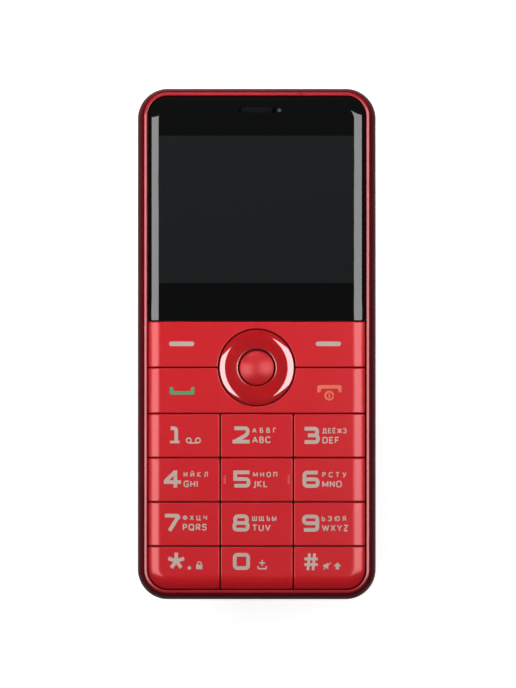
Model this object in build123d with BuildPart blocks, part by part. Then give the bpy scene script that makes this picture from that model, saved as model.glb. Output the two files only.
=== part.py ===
"""Candybar feature phone with a large keypad, as an assembly of its separate pieces.

The phone lies on its back. Z points out of the screen, Y towards the earpiece, and X to the right
as the user sees it. The origin is the middle of the back face. All sizes are in millimetres.
"""
import os
from math import acos, cos, radians, sin, sqrt

from build123d import *

os.makedirs("parts", exist_ok=True)

# Body outline and walls
body_corner = 7.2
cover_wall = 1.1
cover_skin = 1.0
cover_edge_radius = 4.4
housing_wall = 1.35
shoulder_radius = 4.4
shoulder_turn = 45.0  # degrees that the shoulder turns inwards before it meets the rim
seam_gap = 0.08

# Borders round the one opening that the lens and the keys fill, and the bright rim on them
side_border = 2.27
top_border = 1.70
bottom_border = 2.26
opening_corner = 4.9
rim_width = 0.75
rim_rise = 0.25
rim_drop = 0.85  # the shoulder's end below the flat faces of lens and keys
rim_rounding = 0.2
face_gap = 0.3  # between opening, lens and keys

# Stack of thicknesses from the back to the front
battery_clearance = 0.15
battery_thickness = 4.3
plate_thickness = 0.6
board_lift = 0.8
board_thickness = 0.8
dome_height = 0.35
plunger_gap = 0.05
plunger_length = 0.75
web_thickness = 0.45
web_gap = 0.1
deck_thickness = 1.1
shelf_thickness = 0.6
adhesive_thickness = 0.15
lens_thickness = 1.45
key_travel = 0.35
key_floor_gap = 0.1

# Crowned front: flat in the middle, falling along an arc at its edges
crown_radius = 6.0
side_fall_width = 2.9
end_fall_width = 3.5

# Keypad grid
soft_row = 11.1
call_row = 11.0
number_row = 10.57
last_row = 10.38
middle_column = 17.5
pair_gap = 0.1  # hairline where two keys meet above and below the ring
shelf_width = 0.9
mark_length = 2.4
mark_width = 0.6
mark_rise = 0.2
mark_inset = 0.9

# Navigation ring and its OK button
ring_outer = 9.0
ring_inner = 4.46
ring_crest_radius = 6.3
ring_crest_rise = 0.3
ring_outer_drop = 0.65
ring_lift = 0.2  # underside of the ring above the underside of the keys
carrier_gap = 0.25
carrier_thickness = 0.45
carrier_inner = 5.0
carrier_outer = 8.2
rocker_radius = 0.25
rocker_length = 1.5
ok_dome_rise = 0.85
ring_dome_circle = 6.6

# Key mat, domes and lights
boss_inset = 1.2
boss_corner = 0.8
plunger_radius = 1.0
mat_edge_gap = 1.1
rib_width = 0.8
rib_inset = 6.1
dome_radius = 2.1
ring_dome_radius = 1.5
dome_skin = 0.1
film_thickness = 0.08
film_margin = 2.9
light_length = 1.6
light_width = 0.8
light_height = 0.5
light_side = 13.0

# Display, earpiece and indicator
display_width = 46.9
display_height = 35.2
display_end = 11.35  # from the top end of the body to the visible picture
window_margin = 0.6
glass_side_margin = 1.15
glass_top_margin = 2.0
glass_bottom_margin = 4.2
glass_to_wall = 2.55
glass_thickness = 1.1
tape_width = 1.6
flex_width = 14.0
flex_length = 3.9
flex_thickness = 0.2
flex_gap = 0.9  # from the flex tail to the lens's lower edge
earpiece_end = 5.25  # from the top end of the body to the middle of the slot
slot_length = 9.0
slot_width = 1.3
mesh_margin = 0.7
mesh_thickness = 0.1
receiver_length = 9.0
receiver_width = 5.6
receiver_thickness = 1.4
receiver_shift = 0.4
gasket_wall = 0.8
indicator_x = 5.4
indicator_radius = 0.45
indicator_sink = 0.05

# Main board and screws
board_end_gap = 0.7
board_side_inset = 4.1
board_corner = 3.0
screw_inset = 3.6
screw_end = 7.15
middle_screw_shift = 1.9  # above the lens's lower edge
screw_radius = 0.7
screw_clearance = 0.02
screw_hole_margin = 0.15
head_radius = 1.3
head_height = 0.8
boss_radius = 1.8
boss_height = 2.6
boss_notch_gap = 0.3
screw_bite = 2.2
drive_radius = 0.5
drive_depth = 0.4
post_radius = 1.0
post_inset = 7.0

# Rear housing
fit_gap = 0.15
skirt_wall = 0.8
skirt_depth = 2.2
bay_wall = 0.8
bay_gap = 0.2
bay_to_screw = 0.1
bay_to_chamber = 1.1
bay_depth = 4.2
finger_width = 12.0

# Battery and its contacts
battery_width = 45.0
battery_length = 55.0
battery_corner = 1.2
pad_width = 1.8
pad_height = 2.6
pad_thickness = 0.1
pad_pitch = 3.0
connector_width = 10.0
connector_length = 3.0
connector_gap = 1.5
spring_width = 0.9
spring_height = 0.8
touch_gap = 0.02

# Sockets and shield cans on the rear of the board
window_gap = 0.3
socket_gap = 0.1  # between the low parts and the battery
sim_width = 15.0
sim_length = 13.0
sim_spacing = 6.0
sim_inset = 5.0  # from the battery's contact end
card_width = 13.0
card_length = 12.0
card_spacing = 6.5
tray_wall = 0.3
tray_slot = 0.8
can_length = 14.0
can_end = 26.15  # from the top end of the body
can_to_connector = 1.0
rf_can_width = 20.0
rf_can_x = -12.0
base_can_width = 18.0
base_can_x = 11.5
can_wall = 0.2

# Headphone jack, charging socket and microphone
jack_x = 12.8
jack_bore = 1.8
jack_hole = 2.2
jack_depth = 13.0
jack_length = 13.9
jack_width = 6.4
jack_height = 5.0
jack_wall = 0.5  # housing wall to the jack's face
jack_lift = 0.45  # top of the jack below the board's front, so that its mouth lies mostly in the cover
socket_width = 7.5
socket_height = 2.6
socket_length = 5.6
socket_wall = 0.3
socket_sink = 0.55  # mouth inside the end face
socket_margin = 0.2
tongue_width = 3.6
tongue_length = 3.4
tongue_height = 0.6
mic_x = -13.0
mic_width = 3.8
mic_length = 2.9
mic_height = 1.0
boot_wall = 0.6
port_radius = 0.4

# Camera, flash and their windows in the cover
camera_x = -1.0
camera_end = 11.15
camera_width = 8.4
camera_base = 2.8
barrel_radius = 3.0
barrel_gap = 0.9
aperture_radius = 1.2
aperture_depth = 0.5
window_radius = 4.2
window_seat = 0.6
window_thickness = 0.5
window_bore = 3.3
ring_gap = 0.05
flash_end = 19.65
flash_radius = 1.9
flash_flange = 0.95
flash_stem = 1.4
flash_led = 3.0
flash_led_height = 1.2
flash_led_gap = 0.2

# Antenna on its raised seat
seat_inset = 5.9
seat_width = 13.0
seat_end = 2.75
seat_length = 14.4
seat_rise = 3.3
seat_wall = 0.8
antenna_margin = 0.6
antenna_thickness = 0.15
antenna_slot_width = 1.0
antenna_slot_length = 8.5
antenna_slots = 3
clip_width = 1.0
clip_length = 2.0
clip_pitch = 4.0
clip_gap = 0.2

# Loudspeaker, its grille, and the vibration motor
speaker_x = 9.0
speaker_to_socket = 0.45
speaker_width = 16.0
speaker_length = 12.0
speaker_thickness = 3.4
speaker_chamber_wall = 0.8
gasket_thickness = 0.55
mesh_gap = 0.05
grille_slots = 5
grille_pitch = 2.0
grille_width = 0.9
grille_length = 10.0
motor_radius = 2.0
motor_length = 8.5
motor_inset = 8.0
motor_gap = 0.5
weight_radius = 1.9
weight_length = 2.7
shaft_radius = 0.4
shaft_clearance = 0.05
shaft_in_case = 1.5
cradle_wall = 0.8

# Thumbnail notch that opens the cover
notch_width = 12.0
notch_depth = 0.7
notch_height = 1.2

# Heights worked out from the stack
battery_low = cover_skin + battery_clearance
plate_low = battery_low + battery_thickness + battery_clearance
plate_high = plate_low + plate_thickness
board_low = plate_high + board_lift
board_high = board_low + board_thickness
plunger_low = board_high + dome_height + plunger_gap
web_low = plunger_low + plunger_length
web_high = web_low + web_thickness
deck_low = web_high + web_gap
deck_high = deck_low + deck_thickness
shelf_high = deck_low + shelf_thickness
cap_low = shelf_high + key_travel + key_floor_gap
lens_low = deck_high + adhesive_thickness
face_height = lens_low + lens_thickness
rim_base = face_height - rim_drop
seam_height = plate_low
top_wall = face_height + crown_radius  # anything cut open to the front reaches up to here

# Width and length worked out: the body is as large as its battery, display and keypad need
battery_side = bay_gap + bay_wall + bay_to_screw + head_radius + screw_inset
display_side = glass_side_margin + glass_to_wall + housing_wall
body_width = max(battery_width + 2 * battery_side, display_width + 2 * display_side)
display_stretch = display_end + display_height + glass_bottom_margin + flex_length + flex_gap
keypad_stretch = face_gap + soft_row + call_row + 3 * number_row + last_row + bottom_border
board_stretch = can_end + can_length + can_to_connector + connector_length + connector_gap
battery_stretch = battery_length + bay_gap + bay_wall + bay_to_chamber
speaker_stretch = speaker_chamber_wall + fit_gap + speaker_length + speaker_to_socket
socket_stretch = socket_length + socket_sink
rear_length = board_stretch + battery_stretch + speaker_stretch + socket_stretch
body_length = max(display_stretch + keypad_stretch, rear_length)

# Places worked out from the outline
half_width = body_width / 2
half_length = body_length / 2
opening_width = body_width - 2 * side_border
opening_top = half_length - top_border
opening_bottom = -half_length + bottom_border
opening_length = opening_top - opening_bottom
opening_y = (opening_top + opening_bottom) / 2
housing_inner = half_length - housing_wall
screw_x = half_width - screw_inset
screw_y = half_length - screw_end

# Keypad grid worked out: middle lines of the gaps between rows, counted up from the bottom
bottom_line = opening_bottom + face_gap / 2
row_lines = [bottom_line + last_row + row * number_row for row in (3, 2, 1, 0)] + [bottom_line]
number_line = row_lines[0]
call_line = number_line + call_row
lens_line = call_line + soft_row
lens_edge = lens_line + face_gap / 2
screw_rows = (-screw_y, lens_edge + middle_screw_shift, screw_y)
screw_points = [(side * screw_x, y) for side in (-1, 1) for y in screw_rows]
column_lines = [-opening_width / 2 + face_gap / 2, -middle_column / 2, middle_column / 2]
column_lines.append(-column_lines[0])
nav_y = call_line
nav_axis = Axis((0, nav_y, 0), (0, 0, 1))

names = [["key_1", "key_2", "key_3"], ["key_4", "key_5", "key_6"]]
names += [["key_7", "key_8", "key_9"], ["key_star", "key_0", "key_hash"]]


def outline(inset, height, high=body_length):
    """The body's outline, drawn in by an inset, at a height, cut off above a place along Y."""
    with BuildSketch(Plane.XY.offset(height)) as shape:
        RectangleRounded(body_width - 2 * inset, body_length - 2 * inset, body_corner - inset)
        with Locations((0, (high - body_length) / 2)):
            Rectangle(2 * body_width, high + body_length, mode=Mode.INTERSECT)
    return shape.sketch


def opening(inset, height, low=-body_length, high=body_length):
    """The front opening drawn in by an inset, at a height, cut to a stretch along Y."""
    with BuildSketch(Plane.XY.offset(height)) as shape:
        with Locations((0, opening_y)):
            RectangleRounded(opening_width - 2 * inset, opening_length - 2 * inset, opening_corner - inset)
        with Locations((0, (low + high) / 2)):
            Rectangle(2 * body_width, high - low, mode=Mode.INTERSECT)
    return shape.sketch


def block(x, y, z, mode=Mode.ADD):
    """A block in the open piece, from its low and high ends along X, Y and Z."""
    with Locations((sum(x) / 2, sum(y) / 2, sum(z) / 2)):
        Box(x[1] - x[0], y[1] - y[0], z[1] - z[0], mode=mode)


def about(middle, size):
    """Low and high ends of a size centred on a middle."""
    return (middle - size / 2, middle + size / 2)


def posts(points, radius, low, high, mode=Mode.ADD):
    """Upright cylinders in the open piece at a list of points."""
    with Locations(*[(x, y, (low + high) / 2) for x, y in points]):
        Cylinder(radius, high - low, mode=mode)


def tunnel(x, y, z, radius, mode=Mode.SUBTRACT):
    """A cylinder along Y in the open piece, between the low and high ends y."""
    with Locations((x, sum(y) / 2, z)):
        Cylinder(radius, y[1] - y[0], rotation=(90, 0, 0), mode=mode)


def save(piece, name):
    """Label a finished piece and write its STEP file."""
    piece.part.label = name
    export_step(piece.part, f"parts/{name}.step")


# Heights and places of the connectors, which the housings and the board make room for
jack_z = board_high - jack_lift - jack_height / 2
jack_face = housing_inner - jack_wall
jack_room = about(jack_x, jack_width + 2 * window_gap)
jack_back = jack_face - jack_length
socket_z = board_low - socket_height / 2
socket_face = -half_length + socket_sink
socket_room = about(0, socket_width + 2 * socket_margin)
mic_z = board_high + mic_height / 2
mic_y = -housing_inner + boot_wall + mic_length / 2
camera_y = half_length - camera_end
flash_y = half_length - flash_end
speaker_y = socket_face + socket_length + speaker_to_socket + speaker_length / 2
low_part_base = plate_low - battery_clearance + socket_gap  # rear face of cans and sockets
seat_low = plate_low - seat_rise
seat_x_span = (-half_width + seat_inset, -half_width + seat_inset + seat_width)
seat_y_high = half_length - seat_end
seat_y_span = (seat_y_high - seat_length, seat_y_high)
clip_y = seat_y_span[0] + clip_length + seat_wall
clip_points = [(sum(seat_x_span) / 2 + side * clip_pitch / 2, clip_y) for side in (-1, 1)]
motor_z = cover_skin + motor_gap + motor_radius
motor_x = -half_width + motor_inset
can_y = half_length - can_end - can_length / 2
battery_top = can_y - can_length / 2 - can_to_connector - connector_length - connector_gap
sim_x = (sim_spacing + sim_width) / 2
sim_y = battery_top - sim_inset - sim_length / 2
card_y = sim_y - sim_length / 2 - card_spacing - card_length / 2


# Crowned block that the lens and all the keys are cut from
crown_width = opening_width - 2 * face_gap + 2 * (crown_radius - side_fall_width)
crown_length = opening_length - 2 * face_gap + 2 * (crown_radius - end_fall_width)
crown_corner = opening_corner - face_gap + crown_radius - side_fall_width
with BuildPart() as crown:
    with BuildSketch(Plane.XY.offset(face_height - 2 * crown_radius)):
        with Locations((0, opening_y)):
            RectangleRounded(crown_width, crown_length, crown_corner)
    extrude(amount=2 * crown_radius)
    fillet(crown.edges().group_by(Axis.Z)[-1], crown_radius)
    extrude(opening(face_gap, 0), amount=top_wall, mode=Mode.INTERSECT)


# Front housing: shoulder, rim, deck under the lens, and shelf round the keys
shoulder_middle = rim_base - shoulder_radius * sin(radians(shoulder_turn))
with BuildPart() as front_housing:
    housing_low = seam_height + seam_gap
    extrude(outline(0, housing_low), amount=shoulder_middle + shoulder_radius - housing_low)
    fillet(front_housing.edges().group_by(Axis.Z)[-1], shoulder_radius)
    extrude(outline(-face_gap, rim_base), amount=top_wall - rim_base, mode=Mode.SUBTRACT)
    extrude(opening(-rim_width, rim_base - rim_drop), amount=rim_rise + rim_drop)
    fillet(front_housing.edges().group_by(Axis.Z)[-1], rim_rounding)
    extrude(opening(0, deck_high, low=lens_line), amount=top_wall, mode=Mode.SUBTRACT)
    extrude(opening(0, shelf_high, high=lens_line), amount=top_wall, mode=Mode.SUBTRACT)
    keys_through = opening(shelf_width, deck_low, high=lens_line - shelf_width)
    extrude(keys_through, amount=top_wall, mode=Mode.SUBTRACT)
    extrude(outline(housing_wall, 0), amount=deck_low, mode=Mode.SUBTRACT)
    # Window for the display, slot for the earpiece, and hole for the indicator
    display_y = half_length - display_end - display_height / 2
    window_x = about(0, display_width + 2 * window_margin)
    window_y = about(display_y, display_height + 2 * window_margin)
    block(window_x, window_y, (deck_low, deck_high), mode=Mode.SUBTRACT)
    earpiece_y = half_length - earpiece_end
    block(about(0, slot_length), about(earpiece_y, slot_width), (deck_low, deck_high), mode=Mode.SUBTRACT)
    posts([(indicator_x, earpiece_y)], indicator_radius + ring_gap, deck_low, deck_high, mode=Mode.SUBTRACT)
    # Screw bosses, each joined to the side wall by a rib
    boss_high = plate_high + boss_height
    posts(screw_points, boss_radius, plate_high, boss_high)
    for x, y in screw_points:
        rib_ends = sorted((x, x * (half_width - housing_wall / 2) / screw_x))
        block(rib_ends, about(y, boss_radius), (plate_high, boss_high))
    bite_high = plate_high + screw_bite
    posts(screw_points, screw_radius + screw_clearance, plate_high, bite_high, mode=Mode.SUBTRACT)
    # Mouths of the jack and the charging socket, and the microphone's port
    tunnel(jack_x, (jack_face - jack_wall, half_length), jack_z, jack_hole)
    socket_mouth_z = about(socket_z, socket_height + 2 * socket_margin)
    block(socket_room, (-half_length, -housing_inner), socket_mouth_z, mode=Mode.SUBTRACT)
    tunnel(mic_x, (-half_length, -housing_inner), mic_z, port_radius)
save(front_housing, "front_housing")


# Screen lens of clear acrylic, with the earpiece slot through it
lens_y_span = (lens_edge, opening_top)
with BuildPart() as screen_lens:
    add(crown.part)
    block((-half_width, half_width), lens_y_span, (lens_low, top_wall), mode=Mode.INTERSECT)
    with BuildSketch(Plane.XY.offset(lens_low)):
        with Locations((0, earpiece_y)):
            SlotOverall(slot_length, slot_width)
    extrude(amount=top_wall, mode=Mode.SUBTRACT)
    posts([(indicator_x, earpiece_y)], indicator_radius + ring_gap, lens_low, top_wall, mode=Mode.SUBTRACT)
save(screen_lens, "screen_lens")

# Tape frame that holds the lens to the deck
with BuildPart() as lens_adhesive:
    extrude(opening(face_gap, deck_high, low=lens_edge), amount=adhesive_thickness)
    tape_x = about(0, opening_width - 2 * face_gap - 2 * tape_width)
    tape_y = (lens_edge + tape_width, window_y[1])
    block(tape_x, tape_y, (deck_high, lens_low), mode=Mode.SUBTRACT)
    mesh_room_x = about(0, slot_length + 2 * mesh_margin + 2 * ring_gap)
    mesh_room_y = about(earpiece_y, slot_width + 2 * mesh_margin + 2 * ring_gap)
    block(mesh_room_x, mesh_room_y, (deck_high, lens_low), mode=Mode.SUBTRACT)
    posts([(indicator_x, earpiece_y)], indicator_radius + ring_gap, deck_high, lens_low, mode=Mode.SUBTRACT)
save(lens_adhesive, "lens_adhesive")

# Fine mesh that keeps dust out of the earpiece
with BuildPart() as earpiece_mesh:
    mesh_x = (-slot_length / 2 - mesh_margin, indicator_x - indicator_radius - 2 * ring_gap)
    mesh_y = about(earpiece_y, slot_width + 2 * mesh_margin)
    block(mesh_x, mesh_y, (deck_high, deck_high + mesh_thickness))
save(earpiece_mesh, "earpiece_mesh")

# Clear pipe that carries the indicator's light through the deck and the lens
indicator_low = board_high + light_height
with BuildPart() as indicator_light_pipe:
    posts([(indicator_x, earpiece_y)], indicator_radius, indicator_low, face_height - indicator_sink)
save(indicator_light_pipe, "indicator_light_pipe")

# Receiver against the deck, sealed by a foam frame
receiver_y = earpiece_y - receiver_shift
receiver_high = board_high + receiver_thickness
with BuildPart() as earpiece_speaker:
    block(about(0, receiver_length), about(receiver_y, receiver_width), (board_high, receiver_high))
save(earpiece_speaker, "earpiece_speaker")

with BuildPart() as earpiece_gasket:
    block(about(0, receiver_length), about(receiver_y, receiver_width), (receiver_high, deck_low))
    inner_x = about(0, receiver_length - 2 * gasket_wall)
    inner_y = about(receiver_y, receiver_width - 2 * gasket_wall)
    block(inner_x, inner_y, (receiver_high, deck_low), mode=Mode.SUBTRACT)
save(earpiece_gasket, "earpiece_gasket")


# Display module: glass on a backlight frame, with a flex tail to the board
glass_x = about(0, display_width + 2 * glass_side_margin)
glass_low = deck_low - glass_thickness
glass_y = (
    display_y - display_height / 2 - glass_bottom_margin,
    display_y + display_height / 2 + glass_top_margin,
)
with BuildPart() as display_panel:
    block(glass_x, glass_y, (glass_low, deck_low))
save(display_panel, "display_panel")

with BuildPart() as backlight_frame:
    frame_x = about(0, body_width - 2 * housing_wall - 2 * glass_to_wall)
    block(frame_x, glass_y, (board_high, glass_low))
save(backlight_frame, "backlight_frame")

with BuildPart() as display_flex:
    flex_y = (glass_y[0] - flex_length, glass_y[0])
    block(about(0, flex_width), flex_y, (board_high, board_high + flex_thickness))
save(display_flex, "display_flex")


# Key caps. Each is a cell of the crowned block, and four of them make room for the ring
caps = []
for row, row_names in enumerate(names):
    for column, name in enumerate(row_names):
        cell_x = (column_lines[column] + face_gap / 2, column_lines[column + 1] - face_gap / 2)
        cell_y = (row_lines[row + 1] + face_gap / 2, row_lines[row] - face_gap / 2)
        caps.append((name, cell_x, cell_y))
pair_x = [(column_lines[0], -pair_gap / 2), (pair_gap / 2, column_lines[-1])]
pair_y = [(call_line + face_gap / 2, lens_line - face_gap / 2)]
pair_y.append((number_line + face_gap / 2, call_line - face_gap / 2))
pair_names = [["soft_key_left", "soft_key_right"], ["call_key", "end_key"]]
for row, row_names in enumerate(pair_names):
    for column, name in enumerate(row_names):
        caps.append((name, pair_x[column], pair_y[row]))

for name, cell_x, cell_y in caps:
    with BuildPart() as cap:
        add(crown.part)
        block(cell_x, cell_y, (cap_low, top_wall), mode=Mode.INTERSECT)
        if not name.startswith("key"):
            posts([(0, nav_y)], ring_outer + face_gap, cap_low, top_wall, mode=Mode.SUBTRACT)
        if name == "key_5":
            # Two raised bars that a finger finds
            mark_x = [cell_x[0] + mark_inset, cell_x[1] - mark_inset]
            with BuildSketch(Plane.XY.offset(face_height)):
                with Locations(*[(x, sum(cell_y) / 2) for x in mark_x]):
                    SlotOverall(mark_length, mark_width, rotation=90)
            extrude(amount=mark_rise)
    save(cap, name)


# Navigation ring: a smooth arc from its inner edge over a crest to its outer edge
ring_low = cap_low + ring_lift
crest = face_height + ring_crest_rise
ring_arc = ((ring_outer - ring_crest_radius) ** 2 + ring_outer_drop**2) / (2 * ring_outer_drop)
ring_inner_drop = ring_arc - sqrt(ring_arc**2 - (ring_crest_radius - ring_inner) ** 2)
outer_end = (ring_outer, crest - ring_outer_drop)
inner_end = (ring_inner, crest - ring_inner_drop)
with BuildPart() as nav_ring:
    with BuildSketch(Plane.XZ.offset(-nav_y)):
        with BuildLine():
            ThreePointArc(inner_end, (ring_crest_radius, crest), outer_end)
            Polyline(outer_end, (ring_outer, ring_low), (ring_inner, ring_low), inner_end)
        make_face()
    revolve(axis=nav_axis)
    # Rounded feet that the ring rocks on, to the left and right
    for side in (-1, 1):
        tunnel(0, about(nav_y + side * ring_crest_radius, rocker_length), ring_low, rocker_radius, Mode.ADD)
save(nav_ring, "nav_ring")

# Hard carrier between the ring and the mat
carrier_high = ring_low - carrier_gap
carrier_low = carrier_high - carrier_thickness
with BuildPart() as nav_ring_carrier:
    posts([(0, nav_y)], carrier_outer, carrier_low, carrier_high)
    posts([(0, nav_y)], carrier_inner, carrier_low, carrier_high, mode=Mode.SUBTRACT)
save(nav_ring_carrier, "nav_ring_carrier")

# OK button with a domed top
ok_radius = ring_inner - face_gap
with BuildPart() as ok_button:
    dome_arc = (ok_radius**2 + ok_dome_rise**2) / (2 * ok_dome_rise)
    half_turn = acos(1 - ok_dome_rise / dome_arc) / 2
    middle = (dome_arc * sin(half_turn), crest - dome_arc * (1 - cos(half_turn)))
    with BuildSketch(Plane.XZ.offset(-nav_y)):
        with BuildLine():
            ThreePointArc((0, crest), middle, (ok_radius, crest - ok_dome_rise))
            Polyline((ok_radius, crest - ok_dome_rise), (ok_radius, cap_low), (0, cap_low), (0, crest))
        make_face()
    revolve(axis=nav_axis)
save(ok_button, "ok_button")


# Places of the snap domes: one under each key, one under OK and four under the ring
ring_side = ring_outer + face_gap
key_points = []
bosses = []
for name, cell_x, cell_y in caps:
    if name.startswith("key"):
        boss_x = (cell_x[0] + boss_inset, cell_x[1] - boss_inset)
    elif cell_x[0] < 0:
        boss_x = (cell_x[0] + boss_inset, -ring_side - boss_inset)
    else:
        boss_x = (ring_side + boss_inset, cell_x[1] - boss_inset)
    boss_y = (cell_y[0] + boss_inset, cell_y[1] - boss_inset)
    bosses.append((boss_x, boss_y))
    key_points.append((sum(boss_x) / 2, sum(boss_y) / 2))
key_points.append((0, nav_y))
ring_points = [(0, nav_y + side * ring_dome_circle) for side in (-1, 1)]
ring_points += [(side * ring_dome_circle, nav_y) for side in (-1, 1)]
light_points = [(side * middle_column / 2, y) for side in (-1, 1) for y in row_lines[:4]]
light_points += [(side * light_side, nav_y) for side in (-1, 1)]

# Silicone mat: a web with a boss under each cap and a plunger over each dome
mat_high = lens_edge
with BuildPart() as keypad_mat:
    for boss_x, boss_y in bosses:
        with BuildSketch(Plane.XY.offset(web_low)):
            with Locations((sum(boss_x) / 2, sum(boss_y) / 2)):
                RectangleRounded(boss_x[1] - boss_x[0], boss_y[1] - boss_y[0], boss_corner)
        extrude(amount=cap_low - web_low)
    extrude(opening(shelf_width + face_gap, 0), amount=top_wall, mode=Mode.INTERSECT)
    extrude(outline(housing_wall + mat_edge_gap, web_low, high=mat_high), amount=web_thickness)
    posts([(0, nav_y)], carrier_outer, web_high, carrier_low)
    posts([(0, nav_y)], carrier_inner, web_high, carrier_low, mode=Mode.SUBTRACT)
    posts([(0, nav_y)], ok_radius - boss_inset, web_high, cap_low)
    posts(key_points + ring_points, plunger_radius, plunger_low, web_low)
    rib_side = half_width - rib_inset
    for side in (-1, 1):
        block(about(side * rib_side, rib_width), (row_lines[4], mat_high), (board_high, web_low))
    block((-rib_side, rib_side), (mat_high - rib_width, mat_high), (board_high, web_low))
save(keypad_mat, "keypad_mat")


def dome_shell(radius):
    """One thin spherical cap standing on the board at the origin."""
    sphere = (radius**2 + dome_height**2) / (2 * dome_height)
    inner = sphere - dome_skin
    centre = board_high + dome_height - sphere
    foot = sqrt(inner**2 - (board_high - centre) ** 2)
    turn = acos((board_high - centre) / sphere) / 2
    with BuildPart() as shell:
        with BuildSketch(Plane.XZ):
            with BuildLine():
                outer_middle = (sphere * sin(turn), centre + sphere * cos(turn))
                inner_middle = (inner * sin(turn), centre + inner * cos(turn))
                ThreePointArc((0, centre + sphere), outer_middle, (radius, board_high))
                Line((radius, board_high), (foot, board_high))
                ThreePointArc((foot, board_high), inner_middle, (0, centre + inner))
                Line((0, centre + inner), (0, centre + sphere))
            make_face()
        revolve(axis=Axis.Z)
    return shell.part


with BuildPart() as metal_domes:
    with Locations(*key_points):
        add(dome_shell(dome_radius))
    with Locations(*ring_points):
        add(dome_shell(ring_dome_radius))
save(metal_domes, "metal_domes")

# Printed film that keeps the domes in place on the board
with BuildPart() as dome_sheet:
    film_side = rib_side - rib_width / 2 - fit_gap
    film_y = (row_lines[4] + film_margin, mat_high - rib_width - fit_gap)
    block((-film_side, film_side), film_y, (board_high, board_high + film_thickness))
    film_high = board_high + film_thickness
    posts(key_points, dome_radius + ring_gap, board_high, film_high, mode=Mode.SUBTRACT)
    posts(ring_points, ring_dome_radius + ring_gap, board_high, film_high, mode=Mode.SUBTRACT)
    for x, y in light_points:
        light_x = about(x, light_length + 2 * window_gap)
        light_y = about(y, light_width + 2 * window_gap)
        block(light_x, light_y, (board_high, board_high + film_thickness), mode=Mode.SUBTRACT)
save(dome_sheet, "dome_sheet")

# Light chips on the board: ten for the keypad and one under the indicator's pipe
with BuildPart() as board_lights:
    chip_points = light_points + [(indicator_x, earpiece_y)]
    with Locations(*[(x, y, board_high + light_height / 2) for x, y in chip_points]):
        Box(light_length, light_width, light_height)
save(board_lights, "board_lights")


# Main board, notched round the screw bosses, the jack and the socket's corners
board_side = half_width - board_side_inset
board_end = housing_inner - board_end_gap
with BuildPart() as main_board:
    with BuildSketch(Plane.XY.offset(board_low)):
        RectangleRounded(2 * board_side, 2 * board_end, board_corner)
    extrude(amount=board_thickness)
    posts(screw_points, boss_radius + boss_notch_gap, board_low, board_high, mode=Mode.SUBTRACT)
    block(jack_room, (jack_back - window_gap, half_length), (board_low, board_high), mode=Mode.SUBTRACT)
save(main_board, "main_board")


def shield_can(x, width):
    """A pressed steel can open towards the board."""
    with BuildPart() as can:
        block(about(x, width), about(can_y, can_length), (low_part_base, board_low))
        inner_x = about(x, width - 2 * can_wall)
        inner_y = about(can_y, can_length - 2 * can_wall)
        block(inner_x, inner_y, (low_part_base + can_wall, board_low), mode=Mode.SUBTRACT)
    return can


save(shield_can(rf_can_x, rf_can_width), "rf_shield_can")
save(shield_can(base_can_x, base_can_width), "processor_shield_can")


def card_socket(middles, y, width, length):
    """Low sockets side by side, each with a slot for a card that is open at its lower end."""
    with BuildPart() as socket:
        for x in middles:
            block(about(x, width), about(y, length), (low_part_base, board_low))
            slot_y = (y - length / 2, y + length / 2 - tray_wall)
            slot_z = (low_part_base + tray_wall, low_part_base + tray_wall + tray_slot)
            block(about(x, width - 2 * tray_wall), slot_y, slot_z, mode=Mode.SUBTRACT)
    return socket


save(card_socket((-sim_x, sim_x), sim_y, sim_width, sim_length), "sim_sockets")
save(card_socket((0,), card_y, card_width, card_length), "memory_card_socket")


# Headphone jack, its bore open through the top end
with BuildPart() as headphone_jack:
    block(about(jack_x, jack_width), (jack_back, jack_face), about(jack_z, jack_height))
    tunnel(jack_x, (jack_face - jack_depth, jack_face), jack_z, jack_bore)
save(headphone_jack, "headphone_jack")

# Charging socket: a folded steel shell with its contact tongue
with BuildPart() as charging_socket:
    socket_back = socket_face + socket_length
    block(about(0, socket_width), (socket_face, socket_back), about(socket_z, socket_height))
    fillet(charging_socket.edges().filter_by(Axis.Y), 2 * socket_wall)
    cavity_x = about(0, socket_width - 2 * socket_wall)
    cavity_y = (socket_face, socket_back - socket_wall)
    cavity_z = about(socket_z, socket_height - 2 * socket_wall)
    block(cavity_x, cavity_y, cavity_z, mode=Mode.SUBTRACT)
    tongue_y = (socket_back - socket_wall - tongue_length, socket_back)
    block(about(0, tongue_width), tongue_y, about(socket_z, tongue_height))
save(charging_socket, "charging_socket")

# Microphone in a rubber boot that leads to the port in the bottom end
with BuildPart() as microphone:
    block(about(mic_x, mic_width), about(mic_y, mic_length), (board_high, board_high + mic_height))
    tunnel(mic_x, (mic_y - mic_length / 2, mic_y), mic_z, port_radius)
save(microphone, "microphone")

with BuildPart() as microphone_boot:
    boot_x = about(mic_x, mic_width + 2 * boot_wall)
    boot_y = (-housing_inner, mic_y + mic_length / 2)
    block(boot_x, boot_y, (board_high, board_high + mic_height))
    block(about(mic_x, mic_width), about(mic_y, mic_length), (board_high, web_low), mode=Mode.SUBTRACT)
    tunnel(mic_x, (-housing_inner, mic_y), mic_z, port_radius)
save(microphone_boot, "microphone_boot")


# Battery connector: a block on the board with three springs that reach the battery's pads
connector_y = (battery_top + connector_gap, battery_top + connector_gap + connector_length)
spring_z = about(battery_low + battery_thickness / 2, spring_height)
pad_points = [pad_pitch * step for step in (-1, 0, 1)]
with BuildPart() as battery_connector:
    block(about(0, connector_width), connector_y, (battery_low + battery_clearance, board_low))
save(battery_connector, "battery_connector")

with BuildPart() as battery_springs:
    for x in pad_points:
        block(about(x, spring_width), (battery_top + touch_gap, connector_y[0]), spring_z)
save(battery_springs, "battery_springs")

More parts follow.
